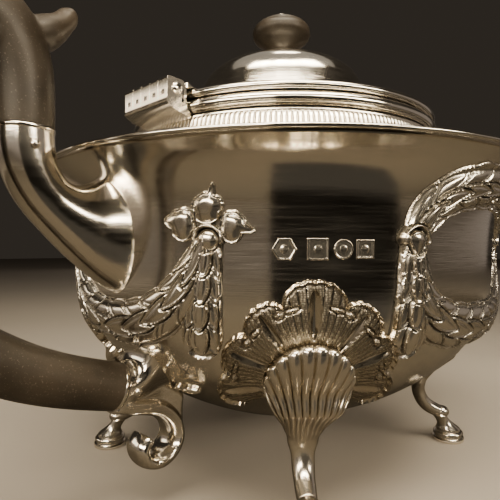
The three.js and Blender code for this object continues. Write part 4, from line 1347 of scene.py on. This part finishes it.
def light_scene():
    world = bpy.data.worlds.new("studio")
    bpy.context.scene.world = world
    bpy.context.scene.view_settings.look = "AgX - Medium High Contrast"
    world.use_nodes = True
    ground = world.node_tree.nodes["Background"]
    ground.inputs["Color"].default_value = (1.0, 0.86, 0.70, 1)
    ground.inputs["Strength"].default_value = 0.04

    for name, place, size, radiance, colour in (
        ("ceiling", (0.0, 0.0, 1.1), (1.4, 1.4), 0.26, WARM_WHITE),
        ("key", (-0.30, -0.25, 0.80), (0.15, 0.12), 14.0, CREAM),
        ("top", (0.25, 0.15, 0.95), (0.18, 0.18), 8.0, CREAM),
        ("side", (-0.62, 0.56, 0.30), (0.50, 0.22), 2.0, CREAM),
        ("fill_front", (-0.95, -0.75, 0.24), (1.5, 0.62), 0.24, AMBER),
        ("fill_right", (0.95, -0.75, 0.24), (1.3, 0.62), 0.18, AMBER),
        ("fill_back", (0.95, 0.75, 0.24), (1.3, 0.62), 0.18, AMBER),
        ("fill_left", (-0.95, 0.75, 0.24), (1.3, 0.62), 0.18, AMBER),
    ):
        panel(name, place, size, radiance, colour)
    # Two rows of small lamps behind the lens, one low and one high.
    behind = math.atan2(-CAMERA_WAY[1], -CAMERA_WAY[0])
    for k in range(5):
        turn = behind + math.radians(25 * (k - 1.8))
        way = Vector((math.cos(turn), math.sin(turn), 0))
        panel(f"strip_{k}", way * 0.70 + Vector((0, 0, 0.31)), (0.31, 0.12), 16.5, CREAM, POOL)
        panel(f"awning_{k}", way * 0.40 + Vector((0, 0, 0.68)), (0.22, 0.24), 12.5, CREAM, POOL)


def set_stage():
    half = FLOOR_HALF
    card("floor", [(-half, -half, 0), (half, -half, 0), (half, half, 0), (-half, half, 0)], [(0, 1, 2, 3)],
         mottled("studio_floor", (0.34, 0.312, 0.28), (0.37, 0.337, 0.3), 3, 3, 0.7))
    disc = [(MAT_RADIUS * math.cos(a), MAT_RADIUS * math.sin(a), MAT_HEIGHT) for a in full_turn(64)]
    cloth = mottled("grey_cloth", (0.07, 0.062, 0.05), (0.11, 0.095, 0.075), 400, 2, 0.9)
    only_reflected(card("mat", disc, [tuple(range(64))], cloth))
    hanging = [(-0.021, 0, -0.072), (0.245, 0, -0.072), (0.245, 0, 0.05), (0.22, 0, 0.075), (-0.01, 0, 0.08),
               (-0.021, 0, 0.06)]
    lying = [(0.085, 0.115, -0.072), (-0.002, 0.115, -0.072)]
    black = mottled("black_card", (0.012, 0.012, 0.013), (0.02, 0.02, 0.021), 400, 2, 0.9)
    flag = card("flag", hanging + lying, [(0, 1, 2, 3, 4, 5), (0, 1, 6, 7)], black)
    flag.location = (-0.16, -0.135, 0.075)
    flag.rotation_euler = (0, 0, CAMERA_TURN)
    only_reflected(flag)


def set_camera():
    lens = bpy.data.cameras.new("camera")
    lens.lens = LENS
    lens.sensor_width = 36
    lens.clip_start = 0.005
    camera = placed("camera", lens)
    camera.location = CAMERA_PLACE
    camera.rotation_euler = (math.radians(90 - CAMERA_DROP), 0, CAMERA_TURN)
    bpy.context.scene.camera = camera


set_stage()
light_scene()
set_camera()
